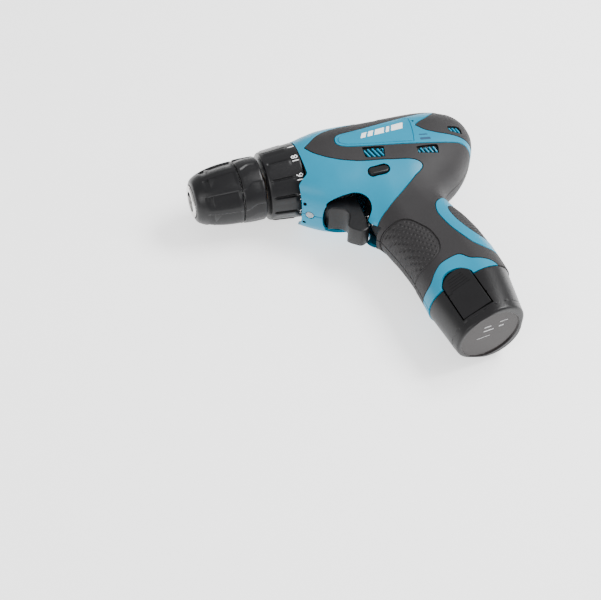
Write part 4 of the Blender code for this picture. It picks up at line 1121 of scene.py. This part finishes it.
def pack_features():
    return [
        (plate_distance, ((-0.7, -LABEL_FACE), (0.0, 0.0))),
        (lambda p: tab_distance(p, TAB_SEAM), ((-0.2, -4.9), (0.0, 0.0))),
        (lambda p: np.abs(pack_height(p) - PACK_SEAM), ((0.0, -0.35), (0.3, 0.0))),
    ]


def weld(points, faces):
    """Joins points that lie at the same place."""
    keys = {}
    index = np.array([keys.setdefault(tuple(np.round(p, 5)), len(keys)) for p in points])
    return np.array(list(keys)), index[faces]


def build_pack_skin():
    points, triangles = surface_net(pack_field, PACK_LOW, PACK_HIGH, PACK_CELL)
    points, triangles = keep_side(points, triangles, points[:, 2])[:2]
    points, triangles, push = carve(points, triangles, pack_features())
    normals = unit(gradient(pack_field, points))
    moved = points + normals * push[:, None]
    moved[:, 2] = np.where(points[:, 2] < 1e-6, 0, moved[:, 2])
    middle = points[triangles].mean(1)
    tab = tab_distance(middle, TAB_SEAM) < -0.1
    which = np.where(plate_distance(middle) < -0.35, 1, np.where(tab, 2, 0))
    flat, other = mirrored(moved, triangles)
    both, faces = weld(np.concatenate((moved, flat)), np.concatenate((triangles, other + len(moved))))
    made = piece("battery_case_skin", both, faces, (PACK_BLACK, LABEL, MATT_BLACK_AND_SHADE), "battery",
                 ("battery_case", "battery_base"), 34)
    if len(made.data.polygons) == len(faces):
        made.data.polygons.foreach_set("material_index", np.concatenate((which, which)).astype(np.int32))


def pack_level(along, z, up):
    return pack_point(along, up, z)


def build_stem():
    """Stem around the three cells, which stands in the grip."""
    hull = []
    for k in range(48):
        a = 2 * math.pi * k / 48
        x, z = max(CELL_PLACES, key=lambda place: place[0] * math.cos(a) + place[1] * math.sin(a))
        hull.append((x + STEM_R * math.cos(a), z + STEM_R * math.sin(a)))
    levels = ((28.0, 0.0), (STEM_TOP - 1.2, 0.0), (STEM_TOP - 0.4, 0.4), (STEM_TOP, 1.2))
    levelled_piece("battery_stem", hull, levels, pack_level, PACK_BLACK, "battery", (), 30)


def build_latch_tab(side, name):
    """Sprung tab with finger ridges, on the pack's slanted face."""
    first, last = TAB_MIDDLE - TAB_HALF + 0.3, TAB_MIDDLE + TAB_HALF - 0.3
    outline = [(first, TAB_LOW + 0.3), (last, TAB_LOW + 0.3)]
    for i in range(13):
        across = last - (last - first) * i / 12
        sink = TAB_SINK * abs((across - TAB_MIDDLE) / TAB_HALF) ** TAB_POWER
        outline.append((across, TAB_CROWN - 0.5 - sink))

    def face(across, up, out):
        cos, sin = math.cos(TAB_TURN), math.sin(TAB_TURN)
        return pack_point(across * cos - out * sin, up, side * (across * sin + out * cos))

    inner, outer = TAB_OUT
    levels = ((inner, 0.0), (outer - 0.45, 0.0), (outer - 0.15, 0.15), (outer, 0.5))
    levelled_piece("latch_tab_%s" % name, outline, levels, face, PACK_BLACK, "latch_%s" % name,
                   ("battery_latch_%s" % name,), 40)
    for k in range(5):
        up = 27.0 + 1.9 * k
        half = 6.6 - 0.5 * k
        bar = ((-half, up), (half, up), (half, up + 0.7), (-half, up + 0.7))
        levels = ((outer - 0.2, 0.0), (outer + 0.15, 0.0), (outer + 0.3, 0.15))
        levelled_piece("latch_ridge_%s_%d" % (name, k), bar, levels, face, PACK_BLACK,
                       "latch_%s" % name, (), 40)


# Plain bars on the label plate: along the tool, across it, length and width
LABEL_BARS = ((-11.0, -1.0, 9.0, 0.35), (-7.0, 4.0, 6.5, 0.8), (-7.0, 7.5, 4.5, 0.8), (3.0, 4.5, 3.2, 0.9),
              (3.0, 8.5, 5.5, 0.5))


def build_label_bars():
    levels = ((LABEL_FACE + 0.03, 0.0), (LABEL_FACE - 0.06, 0.0))
    for index, (along, z, length, width) in enumerate(LABEL_BARS):
        bar = ((along, z), (along + length, z), (along + length, z + width), (along, z + width))
        levelled_piece("label_bar_%d" % index, bar, levels, pack_level, PRINT_GREY, "battery", (),
                       30)


# ---------------------------------------------------------------- everything else keeps its CAD shape

FINISHES = {
    "speed_slider": BLACK, "lamp_lens": LENS, "chuck_body": BRIGHT, "chuck_jaw": DARK_STEEL,
    "chuck_nut": DARK_STEEL, "chuck_screw": DARK_STEEL, "clutch_nut": DARK_STEEL, "clutch_spring": BRIGHT,
    "clutch_washer": BRIGHT, "gear_case": DARK_STEEL, "housing_screw": DARK_STEEL, "motor_armature": COPPER,
    "motor_bush": BRONZE, "motor_can": DARK_STEEL, "motor_end_bell": MATT_BLACK_AND_SHADE, "motor_lead_left": LEAD,
    "motor_lead_right": MATT_BLACK_AND_SHADE, "planet_carrier": BRIGHT, "planet_gear": DARK_STEEL, "ring_gear": GREY,
    "spindle_bush": BRONZE, "spindle": BRIGHT, "switch_body": MATT_BLACK_AND_SHADE, "terminal_block": MATT_BLACK_AND_SHADE,
    "trigger_spring": BRIGHT, "battery_cell": WRAP,
}


def finish_nodes():
    for item in bpy.data.objects:
        best = [key for key in FINISHES if item.type == "MESH" and item.name.startswith(key)]
        if best:
            item.data.materials.clear()
            item.data.materials.append(FINISHES[max(best, key=len)])


# ---------------------------------------------------------------- floor, light and camera


# Area lights: name, place, size and power
LIGHTS = (
    ("key", (0.65, 0.05, 0.95), (0.6, 0.4), 17.0),
    ("front", (-0.9, -0.5, 0.7), (0.5, 0.5), 5.0),
    ("side", (0.9, -0.3, 0.6), (0.5, 0.6), 4.0),
)
WORLD_STRENGTH = 0.8
LIGHT_AIM = Vector((0.0, 0.0, 0.03))
FLOOR_HALF = 1.6
FLOOR_GAP = 0.0002

# Camera: the place it looks at and its distance in the tool's frame, then its turns and its lens
AIM = (42.08, -96.02, 0.0)
DISTANCE = 769.4
AZIMUTH = -0.342
ELEVATION = 0.881
ROLL = 0.041
FOCAL = 77.87
SENSOR = 36.0


def build_floor():
    count = 24
    steps = np.linspace(-FLOOR_HALF, FLOOR_HALF, count)
    points = [(x, y, -FLOOR_GAP) for y in steps for x in steps]
    faces = [(j * count + i, j * count + i + 1, (j + 1) * count + i + 1, (j + 1) * count + i)
             for j in range(count - 1) for i in range(count - 1)]
    mesh = bpy.data.meshes.new("floor")
    mesh.from_pydata(points, [], faces)
    floor = bpy.data.objects.new("floor", mesh)
    mesh.materials.append(moulded("floor_pale", (0.93, 0.93, 0.93), 0.6, 60.0, 0.02, 0.01, worn=0,
                                   Emission_Color=(1.0, 1.0, 1.0, 1.0), Emission_Strength=1.2))
    bpy.context.scene.collection.objects.link(floor)


def build_lights():
    world = bpy.data.worlds.new("studio")
    bpy.context.scene.world = world
    world.use_nodes = True
    shade = world.node_tree.nodes["Background"]
    shade.inputs["Color"].default_value = (1.0, 1.0, 1.0, 1.0)
    shade.inputs["Strength"].default_value = WORLD_STRENGTH
    for name, place, size, power in LIGHTS:
        data = bpy.data.lights.new(name, "AREA")
        data.shape = "RECTANGLE"
        data.size, data.size_y = size
        data.energy = power
        lamp = bpy.data.objects.new(name, data)
        lamp.location = place
        lamp.rotation_euler = (Vector(place) - LIGHT_AIM).to_track_quat("Z", "Y").to_euler()
        bpy.context.scene.collection.objects.link(lamp)


def place_camera():
    back = np.array((math.sin(AZIMUTH) * math.cos(ELEVATION), -math.cos(AZIMUTH) * math.cos(ELEVATION),
                     math.sin(ELEVATION)))
    right = np.cross(-back, (0.0, 0.0, 1.0))
    right /= np.linalg.norm(right)
    up = np.cross(right, -back)
    right, up = (math.cos(ROLL) * right + math.sin(ROLL) * up, -math.sin(ROLL) * right + math.cos(ROLL) * up)
    data = bpy.data.cameras.new("main")
    data.lens = FOCAL
    data.sensor_width = SENSOR
    data.clip_start = 0.01
    data.clip_end = 20.0
    camera = bpy.data.objects.new("main", data)
    turn = Matrix([[right[i], up[i], back[i]] for i in range(3)]).to_4x4()
    turn.translation = Vector(to_row(np.array(AIM) + back * DISTANCE))
    camera.matrix_world = turn
    bpy.context.scene.collection.objects.link(camera)
    bpy.context.scene.camera = camera


build_housing()
build_chuck()
build_trigger()
build_reverse_button()
build_screw_heads()
build_pack_skin()
build_stem()
build_latch_tab(1, "left")
build_latch_tab(-1, "right")
build_label_bars()
finish_nodes()
build_floor()
build_lights()
place_camera()
